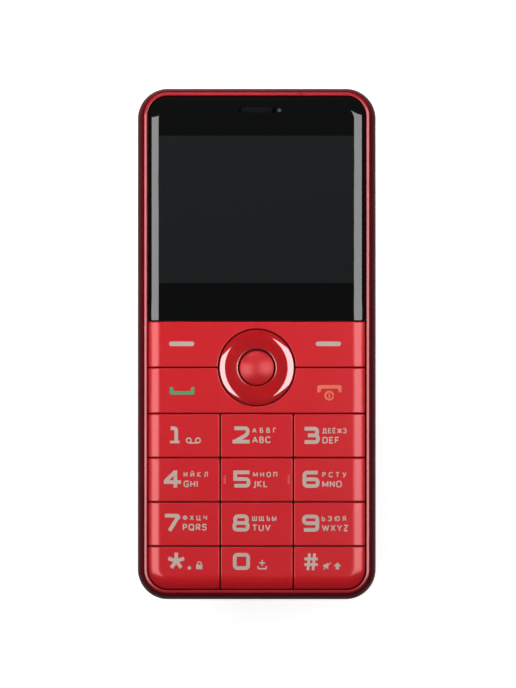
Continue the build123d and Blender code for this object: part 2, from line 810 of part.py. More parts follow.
# Battery pack and its three pads, let into the contact end
battery_y = (battery_top - battery_length, battery_top)
with BuildPart() as battery:
    with BuildSketch(Plane.XY.offset(battery_low)):
        with Locations((0, sum(battery_y) / 2)):
            RectangleRounded(battery_width, battery_length, battery_corner)
    extrude(amount=battery_thickness)
    for x in pad_points:
        pad_y = (battery_top - pad_thickness, battery_top)
        pad_z = about(sum(spring_z) / 2, pad_height)
        block(about(x, pad_width), pad_y, pad_z, mode=Mode.SUBTRACT)
save(battery, "battery")

with BuildPart() as battery_pads:
    for x in pad_points:
        block(about(x, pad_width), pad_y, pad_z)
save(battery_pads, "battery_pads")


# Camera: a square base on the board with a lens barrel towards the back
camera_point = [(camera_x, camera_y)]
barrel_low = cover_skin + barrel_gap
with BuildPart() as camera_module:
    block(about(camera_x, camera_width), about(camera_y, camera_width), (board_low - camera_base, board_low))
    posts(camera_point, barrel_radius, barrel_low, board_low - camera_base)
    posts(camera_point, aperture_radius, barrel_low, barrel_low + aperture_depth, mode=Mode.SUBTRACT)
save(camera_module, "camera_module")

# Window of hard glass let into the cover, flush with the back
with BuildPart() as camera_window:
    posts(camera_point, window_radius, window_seat - window_thickness, window_seat)
save(camera_window, "camera_window")

flash_point = [(camera_x, flash_y)]
led_low = board_low - flash_led_height
with BuildPart() as flash_led_chip:
    block(about(camera_x, flash_led), about(flash_y, flash_led), (led_low, board_low))
save(flash_led_chip, "flash_led")

# Clear guide from the back face to the flash chip
with BuildPart() as flash_lens:
    posts(flash_point, flash_radius, cover_skin - flash_flange, cover_skin)
    posts(flash_point, flash_stem, cover_skin, led_low - flash_led_gap)
save(flash_lens, "flash_lens")


# Rear housing: floor plate, skirt, battery bay, and seats for speaker, motor and antenna
chamber_x = about(speaker_x, speaker_width + 2 * fit_gap)
chamber_y = about(speaker_y, speaker_length + 2 * fit_gap)
gasket_low = cover_skin + mesh_thickness + mesh_gap
speaker_low = gasket_low + gasket_thickness
speaker_high = speaker_low + speaker_thickness
case_x = (motor_x, motor_x + motor_length)
with BuildPart() as rear_housing:
    extrude(outline(housing_wall + fit_gap, plate_low), amount=plate_thickness)
    extrude(outline(housing_wall + fit_gap, plate_low - skirt_depth), amount=skirt_depth)
    skirt_room = outline(housing_wall + fit_gap + skirt_wall, plate_low - skirt_depth)
    extrude(skirt_room, amount=skirt_depth, mode=Mode.SUBTRACT)
    # Walls of the battery bay
    room_x = about(0, battery_width + 2 * bay_gap)
    room_y = (battery_y[0] - bay_gap, battery_y[1] + bay_gap)
    bay_z = (plate_low - bay_depth, plate_low)
    block((room_x[0] - bay_wall, room_x[1] + bay_wall), (room_y[0] - bay_wall, room_y[1] + bay_wall), bay_z)
    # Chamber round the loudspeaker, cradle for the motor, and raised seat of the antenna
    chamber_outer_x = (chamber_x[0] - speaker_chamber_wall, chamber_x[1] + speaker_chamber_wall)
    chamber_outer_y = (chamber_y[0] - speaker_chamber_wall, chamber_y[1] + speaker_chamber_wall)
    block(chamber_outer_x, chamber_outer_y, (speaker_low + gasket_thickness, plate_low))
    cradle_y = about(speaker_y, 2 * motor_radius + 2 * cradle_wall)
    block(case_x, cradle_y, (motor_z, plate_low))
    block(seat_x_span, seat_y_span, (seat_low, plate_low))
    # Hollows of the bay, the chamber, the cradle and the seat
    block(room_x, room_y, bay_z, mode=Mode.SUBTRACT)
    block(chamber_x, chamber_y, (speaker_low, speaker_high), mode=Mode.SUBTRACT)
    with Locations(((case_x[0] + case_x[1]) / 2, speaker_y, motor_z)):
        Cylinder(motor_radius + ring_gap, motor_length, rotation=(0, 90, 0), mode=Mode.SUBTRACT)
    hollow_x = (seat_x_span[0] + seat_wall, seat_x_span[1] - seat_wall)
    hollow_y = (seat_y_span[0] + seat_wall, seat_y_span[1] - seat_wall)
    block(hollow_x, hollow_y, (seat_low + seat_wall, plate_low), mode=Mode.SUBTRACT)
    # Openings through the plate for what stands on the rear of the board
    through = (seat_low, plate_high)
    card_windows = [(-sim_x, sim_y, sim_width, sim_length), (sim_x, sim_y, sim_width, sim_length)]
    card_windows.append((0, card_y, card_width, card_length))
    card_windows.append((rf_can_x, can_y, rf_can_width, can_length))
    card_windows.append((base_can_x, can_y, base_can_width, can_length))
    card_windows.append((camera_x, camera_y, camera_width, camera_width))
    card_windows.append((camera_x, flash_y, flash_led, flash_led))
    for x, y, width, length in card_windows:
        opening_x = about(x, width + 2 * window_gap)
        opening_y_span = about(y, length + 2 * window_gap)
        block(opening_x, opening_y_span, (plate_low, plate_high), mode=Mode.SUBTRACT)
    connector_room = (room_y[1] - bay_wall, connector_y[1] + window_gap)
    connector_x = about(0, connector_width + 2 * window_gap)
    block(connector_x, connector_room, (bay_z[0], plate_high), mode=Mode.SUBTRACT)
    block(jack_room, (jack_back - window_gap, half_length), through, mode=Mode.SUBTRACT)
    socket_room_y = (-half_length, socket_back + window_gap)
    block(socket_room, socket_room_y, (socket_mouth_z[0], plate_high), mode=Mode.SUBTRACT)
    for x, y in clip_points:
        clip_x = about(x, clip_width + 2 * clip_gap)
        block(clip_x, about(y, clip_length + 2 * clip_gap), through, mode=Mode.SUBTRACT)
    # Notch where a finger lifts the battery out
    finger_y = (room_y[0] - bay_wall, room_y[0])
    block(about(0, finger_width), finger_y, (bay_z[0], bay_z[0] + bay_depth / 2), mode=Mode.SUBTRACT)
    # Posts that carry the board, and screw holes
    post_x = half_width - post_inset
    board_posts = [(side * post_x, y) for side in (-1, 1) for y in screw_rows]
    posts(board_posts, post_radius, plate_high, board_low)
    posts(screw_points, screw_radius + screw_hole_margin, plate_low, plate_high, mode=Mode.SUBTRACT)
save(rear_housing, "rear_housing")

# Six small screws from the back, heads against the plate
with BuildPart() as housing_screws:
    posts(screw_points, head_radius, plate_low - head_height, plate_low)
    posts(screw_points, screw_radius, plate_low, plate_high + screw_bite - screw_clearance)
    with BuildSketch(Plane.XY.offset(plate_low - head_height)):
        with Locations(*screw_points):
            RegularPolygon(drive_radius, 6)
    extrude(amount=drive_depth, mode=Mode.SUBTRACT)
save(housing_screws, "housing_screws")


# Stamped antenna on its seat, slotted into a folded strip, and its two contact clips
with BuildPart() as antenna_plate:
    antenna_x = (seat_x_span[0] + antenna_margin, seat_x_span[1] - antenna_margin)
    antenna_y = (seat_y_span[0] + antenna_margin, seat_y_span[1] - antenna_margin)
    antenna_z = (seat_low - antenna_thickness, seat_low)
    block(antenna_x, antenna_y, antenna_z)
    slot_pitch = (antenna_x[1] - antenna_x[0]) / (antenna_slots + 1)
    for step in range(antenna_slots):
        x = antenna_x[0] + slot_pitch * (step + 1)
        if step % 2:
            antenna_slot = (antenna_y[1] - antenna_slot_length, antenna_y[1])
        else:
            antenna_slot = (antenna_y[1] - antenna_slot_length - slot_pitch, antenna_y[1] - slot_pitch)
        block(about(x, antenna_slot_width), antenna_slot, antenna_z, mode=Mode.SUBTRACT)
save(antenna_plate, "antenna_plate")

with BuildPart() as antenna_clips:
    for x, y in clip_points:
        block(about(x, clip_width), about(y, clip_length), (seat_low, board_low))
save(antenna_clips, "antenna_clips")


# Loudspeaker facing the back, with its foam frame
with BuildPart() as loudspeaker:
    block(about(speaker_x, speaker_width), about(speaker_y, speaker_length), (speaker_low, speaker_high))
save(loudspeaker, "loudspeaker")

with BuildPart() as speaker_gasket:
    foam_z = (gasket_low, speaker_low)
    block(about(speaker_x, speaker_width), about(speaker_y, speaker_length), foam_z)
    foam_x = about(speaker_x, speaker_width - 2 * gasket_wall)
    block(foam_x, about(speaker_y, speaker_length - 2 * gasket_wall), foam_z, mode=Mode.SUBTRACT)
save(speaker_gasket, "speaker_gasket")


# Vibration motor, with an eccentric weight on its shaft
with BuildPart() as vibration_motor:
    with Locations((sum(case_x) / 2, speaker_y, motor_z)):
        Cylinder(motor_radius, motor_length, rotation=(0, 90, 0))
    with Locations((case_x[1] - shaft_in_case / 2, speaker_y, motor_z)):
        Cylinder(
            shaft_radius + shaft_clearance, shaft_in_case, rotation=(0, 90, 0), mode=Mode.SUBTRACT
        )
save(vibration_motor, "vibration_motor")

with BuildPart() as vibration_weight:
    weight_x = (case_x[1] + window_gap, case_x[1] + window_gap + weight_length)
    with Locations((sum(weight_x) / 2, speaker_y, motor_z)):
        Cylinder(weight_radius, weight_length, rotation=(0, 90, 0))
    half_disc_z = (motor_z + shaft_radius, motor_z + weight_radius)
    block(weight_x, about(speaker_y, 2 * weight_radius), half_disc_z, mode=Mode.SUBTRACT)
    shaft_x = (case_x[1] - shaft_in_case + shaft_clearance, weight_x[1])
    with Locations((sum(shaft_x) / 2, speaker_y, motor_z)):
        Cylinder(shaft_radius, shaft_x[1] - shaft_x[0], rotation=(0, 90, 0))
save(vibration_weight, "vibration_weight")


# Back cover: a shallow tray with rounded edges that wraps up to the seam
with BuildPart() as back_cover:
    extrude(outline(0, 0), amount=seam_height)
    fillet(back_cover.edges().group_by(Axis.Z)[0], cover_edge_radius)
    with BuildPart(mode=Mode.PRIVATE) as hollow:
        extrude(outline(cover_wall, cover_skin), amount=seam_height)
        fillet(hollow.edges().group_by(Axis.Z)[0], cover_edge_radius - cover_skin)
    add(hollow.part, mode=Mode.SUBTRACT)
    # Windows of the camera and the flash
    posts(camera_point, window_radius + ring_gap, 0, window_seat, mode=Mode.SUBTRACT)
    posts(camera_point, window_bore, 0, cover_skin, mode=Mode.SUBTRACT)
    posts(flash_point, flash_radius + ring_gap, 0, cover_skin, mode=Mode.SUBTRACT)
    # Grille of rounded slots over the loudspeaker
    with BuildSketch(Plane.XY):
        with Locations((speaker_x, speaker_y)):
            with GridLocations(0, grille_pitch, 1, grille_slots):
                SlotOverall(grille_length, grille_width)
    extrude(amount=cover_skin, mode=Mode.SUBTRACT)
    # Mouths of the jack and the charging socket, open to the seam
    tunnel(jack_x, (jack_face - jack_wall, half_length), jack_z, jack_hole)
    socket_cut_y = (-half_length, -half_length + cover_wall + socket_sink)
    block(socket_room, socket_cut_y, socket_mouth_z, mode=Mode.SUBTRACT)
    # Notch in the seam for a thumbnail
    for side in (-1, 1):
        notch_ends = sorted((side * half_width, side * (half_width - notch_depth)))
        notch_z = (seam_height - notch_height, seam_height)
        block(notch_ends, about(-screw_y / 2, notch_width), notch_z, mode=Mode.SUBTRACT)
save(back_cover, "back_cover")

with BuildPart() as speaker_mesh:
    mesh_span_y = about(speaker_y, speaker_length - 2 * gasket_wall)
    block(foam_x, mesh_span_y, (cover_skin, cover_skin + mesh_thickness))
save(speaker_mesh, "speaker_mesh")
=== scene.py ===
import bmesh
import bpy
import numpy as np
from mathutils import Matrix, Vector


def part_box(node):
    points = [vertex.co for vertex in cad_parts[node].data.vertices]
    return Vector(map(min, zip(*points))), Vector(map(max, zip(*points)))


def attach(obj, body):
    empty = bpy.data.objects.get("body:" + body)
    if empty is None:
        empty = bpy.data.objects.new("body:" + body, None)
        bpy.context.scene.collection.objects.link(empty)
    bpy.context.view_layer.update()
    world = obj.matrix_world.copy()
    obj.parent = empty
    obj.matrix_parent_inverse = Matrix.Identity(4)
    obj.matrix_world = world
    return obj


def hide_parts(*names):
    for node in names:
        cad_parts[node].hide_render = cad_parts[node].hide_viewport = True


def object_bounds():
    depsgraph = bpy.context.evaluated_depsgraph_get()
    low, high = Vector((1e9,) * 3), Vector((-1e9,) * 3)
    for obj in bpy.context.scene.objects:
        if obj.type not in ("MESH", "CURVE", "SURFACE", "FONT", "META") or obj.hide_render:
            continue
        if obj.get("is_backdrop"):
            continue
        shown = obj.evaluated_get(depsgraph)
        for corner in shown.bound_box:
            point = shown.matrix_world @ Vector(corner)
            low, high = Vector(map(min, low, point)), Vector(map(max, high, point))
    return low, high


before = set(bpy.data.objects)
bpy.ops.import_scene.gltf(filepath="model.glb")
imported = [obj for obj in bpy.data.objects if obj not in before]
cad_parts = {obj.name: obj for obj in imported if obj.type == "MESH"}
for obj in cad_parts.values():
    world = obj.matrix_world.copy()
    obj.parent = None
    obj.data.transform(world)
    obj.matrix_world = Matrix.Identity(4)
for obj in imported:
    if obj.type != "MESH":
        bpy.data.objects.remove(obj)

cad_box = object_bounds()

# Studio: a camera straight above the phone, which lies on its back on a pale floor.
# Two long soft panels hang to its left and right, so that each edge that falls away shows one.
MM = 0.001
FRAME_HEIGHT = 0.1645  # what the picture's long side spans at the front face
LENS_LENGTH = 500.0
CAMERA_SENSOR = 36.0
VIEW_SHIFT = 0.0003
FACE_TOP = cad_box[1].z

camera_data = bpy.data.cameras.new("camera")
camera_data.lens = LENS_LENGTH
camera_data.sensor_width = CAMERA_SENSOR
camera = bpy.data.objects.new("camera", camera_data)
camera.location = (VIEW_SHIFT, 0, FACE_TOP + FRAME_HEIGHT * LENS_LENGTH / CAMERA_SENSOR)
bpy.context.scene.collection.objects.link(camera)
bpy.context.scene.camera = camera
bpy.context.scene.view_settings.view_transform = "Standard"


def panel_light(name, place, size, power, aim=(0, 0, 0)):
    """A rectangular soft light at a place, turned towards a point."""
    data = bpy.data.lights.new(name, "AREA")
    data.shape = "RECTANGLE"
    data.size, data.size_y = size
    data.energy = power
    light = bpy.data.objects.new(name, data)
    light.location = place
    back = np.array(place, float) - np.array(aim, float)
    across = np.array((back[2], 0, -back[0])) / np.hypot(back[0], back[2])
    back /= np.linalg.norm(back)
    up = np.cross(back, across)
    rows = [[*row, shift] for row, shift in zip(np.array([across, up, back]).T, place)]
    light.matrix_world = Matrix([*rows, [0, 0, 0, 1]])
    light.visible_camera = False
    bpy.context.scene.collection.objects.link(light)
    return light


PANEL_DISTANCE = 0.72
PANEL_LENGTH = 0.36
for name, side, start, end, along, power in (
    ("left_panel", -1, 11, 42, -0.07, 1.5),
    ("right_panel", 1, 7.5, 42, 0.0, 1.65),
):
    middle, half = np.radians((start + end) / 2), np.radians((end - start) / 2)
    place = (side * PANEL_DISTANCE * np.sin(middle), along, PANEL_DISTANCE * np.cos(middle))
    panel_light(name, place, (2 * PANEL_DISTANCE * np.tan(half), PANEL_LENGTH), power, aim=(0, along, 0))
overhead = panel_light("overhead_fill", (-0.05, 0.26, 0.22), (0.2, 0.2), 1.45)
overhead.visible_glossy = False


def add_node(tree, kind, inputs=(), **choices):
    """A new node with its choices made and its inputs set."""
    node = tree.nodes.new("ShaderNode" + kind)
    for key, value in choices.items():
        setattr(node, key, value)
    set_inputs(tree, node, inputs)
    return node


def set_inputs(tree, node, inputs):
    """Set a node's inputs, by name or number, to values or to other nodes' outputs."""
    for key, value in dict(inputs).items():
        if isinstance(value, bpy.types.NodeSocket):
            tree.links.new(value, node.inputs[key])
        else:
            node.inputs[key].default_value = value


def new_material(name, **inputs):
    """A material, its node tree and its shader with inputs set: base_color sets Base Color, and so on."""
    material = bpy.data.materials.new(name)
    material.use_nodes = True
    tree = material.node_tree
    shader = tree.nodes["Principled BSDF"]
    for key, value in inputs.items():
        shader.inputs[key.replace("_", " ").title().replace("Ior", "IOR")].default_value = value
    return material, tree, shader


# The sky is a weak white glow, brighter near the horizon than overhead
world = bpy.data.worlds.new("studio")
bpy.context.scene.world = world
world.use_nodes = True
tree = world.node_tree
place = add_node(tree, "TexCoord")
parts = add_node(tree, "SeparateXYZ", {0: place.outputs["Generated"]})
fade = {"Value": parts.outputs["Z"], "From Min": 0.1, "From Max": 0.55, "To Min": 0.16, "To Max": 0.02}
strength = add_node(tree, "MapRange", fade, interpolation_type="SMOOTHSTEP").outputs["Result"]
set_inputs(tree, tree.nodes["Background"], {"Color": (1, 1, 1, 1), "Strength": strength})

# The floor's paper is seen as white, by the camera and in metal and glass, and still takes a shadow
FLOOR = -34 * MM  # low enough for the back cover to lift off above it
FLOOR_HALF = 3.0
FLOOR_GLOW = 0.75
floor_mesh = bpy.data.meshes.new("floor")
corners = [(x * FLOOR_HALF, y * FLOOR_HALF, FLOOR) for x, y in ((-1, -1), (1, -1), (1, 1), (-1, 1))]
floor_mesh.from_pydata(corners, [], [(0, 1, 2, 3)])
floor = bpy.data.objects.new("floor", floor_mesh)
bpy.context.scene.collection.objects.link(floor)
paper, tree, shader = new_material("floor_paper", base_color=(0.60, 0.60, 0.60, 1), roughness=0.9,
                                   specular_ior_level=0.0, emission_color=(1, 1, 1, 1))
rays = add_node(tree, "LightPath").outputs
seen = add_node(tree, "Math", {0: rays["Is Camera Ray"], 1: rays["Is Glossy Ray"]}, operation="MAXIMUM")
either = {0: seen.outputs[0], 1: rays["Is Transmission Ray"]}
seen_or_through = add_node(tree, "Math", either, operation="MAXIMUM")
glow = add_node(tree, "Math", {0: seen_or_through.outputs[0], 1: FLOOR_GLOW}, operation="MULTIPLY")
set_inputs(tree, shader, {"Emission Strength": glow.outputs[0]})
floor_mesh.materials.append(paper)
floor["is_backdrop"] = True


# Front housing: an injection-moulded shell, sprayed with red lacquer, whose shoulder rolls in to a slim lip
# round the opening; shell and lip get painted shade and a painted highlight. Screws from the back hold it to
# the rear housing.
def box_of(node):
    """A CAD node's lower and upper corner in millimetres."""
    return [np.array(end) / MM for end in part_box(node)]


HOUSING_LOW, HOUSING_HIGH = box_of("front_housing")
HALF_WIDTH, HALF_LENGTH, RIM_TOP = HOUSING_HIGH
SEAM = HOUSING_LOW[2]
BODY_CORNER = 7.2
SHOULDER_RADIUS = 4.4
RIM_BASE = RIM_TOP - 0.25
SHOULDER_MIDDLE = RIM_BASE - SHOULDER_RADIUS * np.sin(np.radians(45))
SIDE_BORDER, TOP_BORDER, BOTTOM_BORDER = 2.27, 1.70, 2.26
OPENING_CORNER = 4.9
RIM_WIDTH = 0.75
RIM_SLOPE = 0.17
WALL = 1.35
LINE_WIDTH = 0.06  # the fine dark line at the lip's foot
LEDGE_TOP = RIM_BASE - 1.2  # the ledge round the opening, which closes the gaps beside the keys
LEDGE_REACH, LEDGE_THICKNESS = 0.6, 0.5
SIDE_WALL_TOP = SEAM + 3.9


def turn(start, end, count):
    """Angles from start to end in degrees, as radians."""
    return np.radians(np.linspace(start, end, count))


def at_height(flat, height):
    """Flat points as points at one height, or at heights of their own."""
    return np.column_stack([flat, np.broadcast_to(height, len(flat))])


def rounded_ring(low, high, corner, height, corner_points=20, side_points=18):
    """Points round a rectangle with rounded corners, anticlockwise from the lower side's right end.

    Each corner is a quarter circle about a point one radius in from both sides, and the
    sides between them are straight.
    """
    corner = np.broadcast_to(corner, 4)
    xs, ys = (high[0], high[0], low[0], low[0]), (low[1], high[1], high[1], low[1])
    signs = ((-1, 1), (-1, -1), (1, -1), (1, 1))
    arcs = []
    for step in range(4):
        middle = np.array((xs[step], ys[step])) + np.array(signs[step]) * corner[step]
        angle = turn(-90 + 90 * step, 90 * step, corner_points)[:, None]
        arcs.append(middle + corner[step] * np.hstack([np.cos(angle), np.sin(angle)]))
    pieces = []
    share = np.linspace(0, 1, side_points + 2)[1:-1, None]
    for step in range(4):
        after = arcs[(step + 1) % 4][0]
        pieces += [arcs[step], arcs[step][-1] + (after - arcs[step][-1]) * share]
    return at_height(np.vstack(pieces), height)


def sheet_faces(rows, columns, closed_rows=False, closed_columns=False):
    """Four-sided faces between the neighbours of a grid of points, joined round where it is closed."""
    row = np.arange(rows if closed_rows else rows - 1)
    column = np.arange(columns if closed_columns else columns - 1)
    row, column = (part.ravel() for part in np.meshgrid(row, column, indexing="ij"))
    here, above = row * columns, (row + 1) % rows * columns
    after = (column + 1) % columns
    return np.column_stack([here + column, here + after, above + after, above + column]).tolist()


def tube(rings, first=True, last=True):
    """Rings of points joined round by four-sided faces, and closed by a face at one end or at both."""
    count = len(rings[0])
    total = len(rings) * count
    faces = sheet_faces(len(rings), count, closed_columns=True)
    if first:
        faces.append(list(range(count)))
    if last:
        faces.append(list(range(total - count, total)))
    return np.vstack(rings), faces


SHARP_ANGLE = 35  # in degrees


def make_piece(name, points, faces, body, slot, material, replaces=(), sharp=SHARP_ANGLE):
    """A mesh piece in metres from points in millimetres, its faces turned outwards.

    It is shaded smooth, but for edges that bend by more than sharp degrees, or flat where sharp is 0.
    """
    mesh = bpy.data.meshes.new(name)
    mesh.from_pydata((np.asarray(points) * MM).tolist(), [], faces)
    work = bmesh.new()
    work.from_mesh(mesh)
    bmesh.ops.remove_doubles(work, verts=work.verts, dist=1e-7)
    bmesh.ops.recalc_face_normals(work, faces=work.faces)
    work.to_mesh(mesh)
    work.free()
    if sharp:
        mesh.shade_smooth()
        mesh.set_sharp_from_angle(angle=np.radians(sharp))
    piece = bpy.data.objects.new(name, mesh)
    bpy.context.scene.collection.objects.link(piece)
    if material is not None:
        mesh.materials.append(material)
    if body is not None:
        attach(piece, body)
    if replaces:
        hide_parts(*replaces)
    return piece


def cut_away(piece, tools):
    """Take closed shapes out of a piece, and delete them."""
    for tool in tools:
        cut = piece.modifiers.new("cut", "BOOLEAN")
        cut.operation = "DIFFERENCE"
        cut.solver = "EXACT"
        cut.object = tool
    bpy.context.view_layer.update()
    whole = bpy.data.meshes.new_from_object(piece.evaluated_get(bpy.context.evaluated_depsgraph_get()))
    piece.modifiers.clear()
    old = piece.data
    piece.data = whole
    name = old.name
    bpy.data.meshes.remove(old)
    whole.name = name
    whole.shade_smooth()
    whole.set_sharp_from_angle(angle=np.radians(SHARP_ANGLE))
    for tool in tools:
        bpy.data.meshes.remove(tool.data)


def prism(outline, low, high, axis=2):
    """A closed bar: an outline in two axes, carried along the third between two places."""
    flat = np.asarray(outline, float)
    rings = [np.insert(flat, axis, place, axis=1) for place in (low, high)]
    return make_piece("tool", *tube(rings), None, None, None)


def circle(x, y, radius, count=48):
    """Points round a circle."""
    angle = np.linspace(0, 2 * np.pi, count, endpoint=False)
    return np.column_stack([x + radius * np.cos(angle), y + radius * np.sin(angle)])


def slot_outline(x, y, length, width, count=12):
    """Points round a slot that lies along the first axis, with half circles at its ends."""
    reach = (length - width) / 2
    ends = [(x + reach, -90), (x - reach, 90)]
    parts = []
    for middle, start in ends:
        angle = turn(start, start + 180, count)
        parts.append(np.column_stack([middle + width / 2 * np.cos(angle), y + width / 2 * np.sin(angle)]))
    return np.vstack(parts)


def noise(tree, place, size, detail):
    """Noise over a place, whose features are about a size in millimetres."""
    texture = add_node(tree, "TexNoise", {"Vector": place, "Scale": 1 / (size * MM), "Detail": detail})
    return texture.outputs["Fac"]


def remap(tree, source, low, high, to_low, to_high):
    """A value carried from one range into another."""
    ranges = {"Value": source, "From Min": low, "From Max": high, "To Min": to_low, "To Max": to_high}
    return add_node(tree, "MapRange", ranges).outputs["Result"]


def blend(tree, factor, first, last):
    """A colour between two others."""
    mix = add_node(tree, "Mix", {"Factor": factor, "A": first, "B": last}, data_type="RGBA")
    return mix.outputs["Result"]


def relief(tree, source, depth, strength):
    """A bumpy surface, whose height in millimetres a value drives."""
    return add_node(tree, "Bump", {"Height": source, "Distance": depth * MM, "Strength": strength}).outputs[0]


def finish(name, colour, roughness, metallic=0.0, grain=None, depth=0.0, clouds=0.0, spread=0.0, coat=0.0,
           coat_roughness=0.05, coat_ior=1.5, specular=0.5, wear=None, stretch=(1, 1, 1)):
    """A finish with grain in its bump, slow changes in colour and gloss, and worn spots.

    grain is the size of the relief in millimetres and depth its height; clouds is the share by
    which the colour drifts, spread the share for the roughness, and wear a colour for rubbed specks.
    """
    material, tree, shader = new_material(
        name, base_color=(*colour, 1), roughness=roughness, metallic=metallic, specular_ior_level=specular,
        coat_weight=coat, coat_roughness=coat_roughness, coat_ior=coat_ior)
    place = add_node(tree, "TexCoord").outputs["Object"]
    place = add_node(tree, "Mapping", {"Vector": place, "Scale": stretch}).outputs[0]
    base = (*colour, 1)
    if clouds:
        darker, lighter = ((*[part * (1 + change) for part in colour], 1) for change in (-clouds, clouds))
        base = blend(tree, remap(tree, noise(tree, place, 9.0, 2.0), 0.3, 0.7, 0, 1), darker, lighter)
    if wear is not None:
        base = blend(tree, remap(tree, noise(tree, place, 0.7, 8.0), 0.66, 0.74, 0, 0.5), base, (*wear, 1))
    set_inputs(tree, shader, {"Base Color": base})
    if spread:
        drift = noise(tree, place, 4.0, 5.0)
        drift = remap(tree, drift, 0.3, 0.7, roughness * (1 - spread), roughness * (1 + spread))
        set_inputs(tree, shader, {"Roughness": drift})
    if grain:
        set_inputs(tree, shader, {"Normal": relief(tree, noise(tree, place, grain, 2.0), depth, 0.6)})
    return material


# Lit and shaded copies of the housing's one red lacquer: the shell's much darker red is painted shade on the
# shoulder, the lip's lighter red a painted highlight
shaded_housing_lacquer = finish("shaded_housing_lacquer", (0.075, 0.003, 0.006), 0.34, grain=0.3, depth=0.001, clouds=0.08,
                         spread=0.15, specular=0.02)
lit_lip_lacquer = finish("lit_lip_lacquer", (0.34, 0.010, 0.017), 0.30, metallic=0.2, grain=0.3, depth=0.00002,
                     clouds=0.05, spread=0.12, coat=1.0, coat_roughness=0.14, coat_ior=1.65)

opening_low = np.array((-HALF_WIDTH + SIDE_BORDER, -HALF_LENGTH + BOTTOM_BORDER))
opening_high = np.array((HALF_WIDTH - SIDE_BORDER, HALF_LENGTH - TOP_BORDER))
body_high = np.array((HALF_WIDTH, HALF_LENGTH))


def body_ring(inset, height):
    """The body's outline drawn in by an inset."""
    return rounded_ring(inset - body_high, body_high - inset, BODY_CORNER - inset, height)


def opening_ring(outset, height):
    """The opening's outline moved out by an outset."""
    return rounded_ring(opening_low - outset, opening_high + outset, OPENING_CORNER + outset, height)


shell_rings = [body_ring(0.12, SEAM), body_ring(0.03, SEAM + 0.04), body_ring(0, SEAM + 0.13)]
for angle in turn(0, 45, 14):
    inset, rise = SHOULDER_RADIUS * (1 - np.cos(angle)), SHOULDER_RADIUS * np.sin(angle)
    shell_rings.append(body_ring(inset, SHOULDER_MIDDLE + rise))
# From the shoulder's end to the foot of the lip the shell steps down into a fine dark line
line_outset = RIM_WIDTH + LINE_WIDTH
shell_rings += [
    opening_ring(line_outset + 0.14, RIM_BASE),
    opening_ring(line_outset + 0.05, RIM_BASE - 0.05),
    opening_ring(line_outset, RIM_BASE - 0.18),
    opening_ring(0.1, RIM_BASE - 0.30),
    opening_ring(0.1, LEDGE_TOP),
    opening_ring(-LEDGE_REACH, LEDGE_TOP),
    opening_ring(-LEDGE_REACH, LEDGE_TOP - LEDGE_THICKNESS),
    opening_ring(0.1, LEDGE_TOP - LEDGE_THICKNESS - 0.1),
    body_ring(WALL, SIDE_WALL_TOP),
    body_ring(WALL, SEAM),
]


def endless(rings):
    """Rings of points joined round, and the last one to the first."""
    return np.vstack(rings), sheet_faces(len(rings), len(rings[0]), closed_rows=True, closed_columns=True)


front_shell = make_piece("front_shell", *endless(shell_rings), "root", "housing_red", shaded_housing_lacquer,
                         replaces=["front_housing"])

# Bright lip: its top slopes outwards, so the panel on each side lights its whole width; its lacquer is also
# painted lighter, as a painted highlight
lip_edge = RIM_TOP - RIM_SLOPE
lip_profile = [
    (RIM_WIDTH, RIM_BASE - 0.2), (RIM_WIDTH, lip_edge - 0.1), (RIM_WIDTH - 0.03, lip_edge - 0.03),
    (RIM_WIDTH - 0.1, lip_edge + 0.01), (0.12, RIM_TOP - 0.01), (0.05, RIM_TOP - 0.03), (0.0, RIM_TOP - 0.1),
    (0.0, LEDGE_TOP), (0.3, LEDGE_TOP), (0.3, RIM_BASE - 0.4),
]
lip_rings = [opening_ring(outset, height) for outset, height in lip_profile]
make_piece("front_lip", *endless(lip_rings), "root", "housing_red", lit_lip_lacquer)


# Screen lens: clear acrylic, moulded with a crowned edge, printed black on its back but for the
# window over the display, and taped down on the housing's deck. The earpiece slot goes through it.
LENS_LOW, LENS_HIGH = box_of("screen_lens")
FACE = LENS_HIGH[2]
FACE_GAP = 0.3
CROWN_RADIUS = 6.0
SIDE_FALL, END_FALL = 2.9, 3.5
crown_out = np.array((CROWN_RADIUS - SIDE_FALL, CROWN_RADIUS - END_FALL))
crown_middle = (opening_low + opening_high) / 2
crown_half = (opening_high - opening_low) / 2 - FACE_GAP + crown_out
CROWN_CORNER = OPENING_CORNER - FACE_GAP + CROWN_RADIUS - SIDE_FALL


def crown_height(x, y):
    """Height of the crowned face at a place.

    The distance in from a rounded rectangle decides it: from one crown radius inwards the face is
    flat, and nearer the edge it falls as a circle does.
    """
    reach = np.abs(np.stack([x - crown_middle[0], y - crown_middle[1]], -1)) - crown_half + CROWN_CORNER
    outside = np.linalg.norm(np.maximum(reach, 0), axis=-1)
    depth = CROWN_CORNER - outside - np.minimum(reach.max(-1), 0)
    short = np.clip(CROWN_RADIUS - depth, 0, CROWN_RADIUS)
    return FACE - CROWN_RADIUS + np.sqrt(CROWN_RADIUS**2 - short**2)


def cell_sides(low, high, corners, count, arc=7):
    """Four sides of a rounded cell, each from the middle of one corner's arc to the next."""
    centres, radii = [], []
    for right, upper, radius in zip((0, 1, 1, 0), (0, 0, 1, 1), corners):
        x = high[0] - radius if right else low[0] + radius
        y = high[1] - radius if upper else low[1] + radius
        centres.append(np.array((x, y)))
        radii.append(radius)
    sides = []
    for step in range(4):
        start, end = 225 + 90 * step, 270 + 90 * step
        first, last = centres[step], centres[(step + 1) % 4]
        opened = turn(start, end, arc)[:, None]
        closed = turn(end, end + 45, arc)[:, None]
        begin = first + radii[step] * np.hstack([np.cos(opened), np.sin(opened)])
        close = last + radii[(step + 1) % 4] * np.hstack([np.cos(closed), np.sin(closed)])
        share = np.linspace(0, 1, count - 2 * arc + 2)[1:-1, None]
        sides.append(np.vstack([begin, begin[-1] + (close[0] - begin[-1]) * share, close]))
    return sides


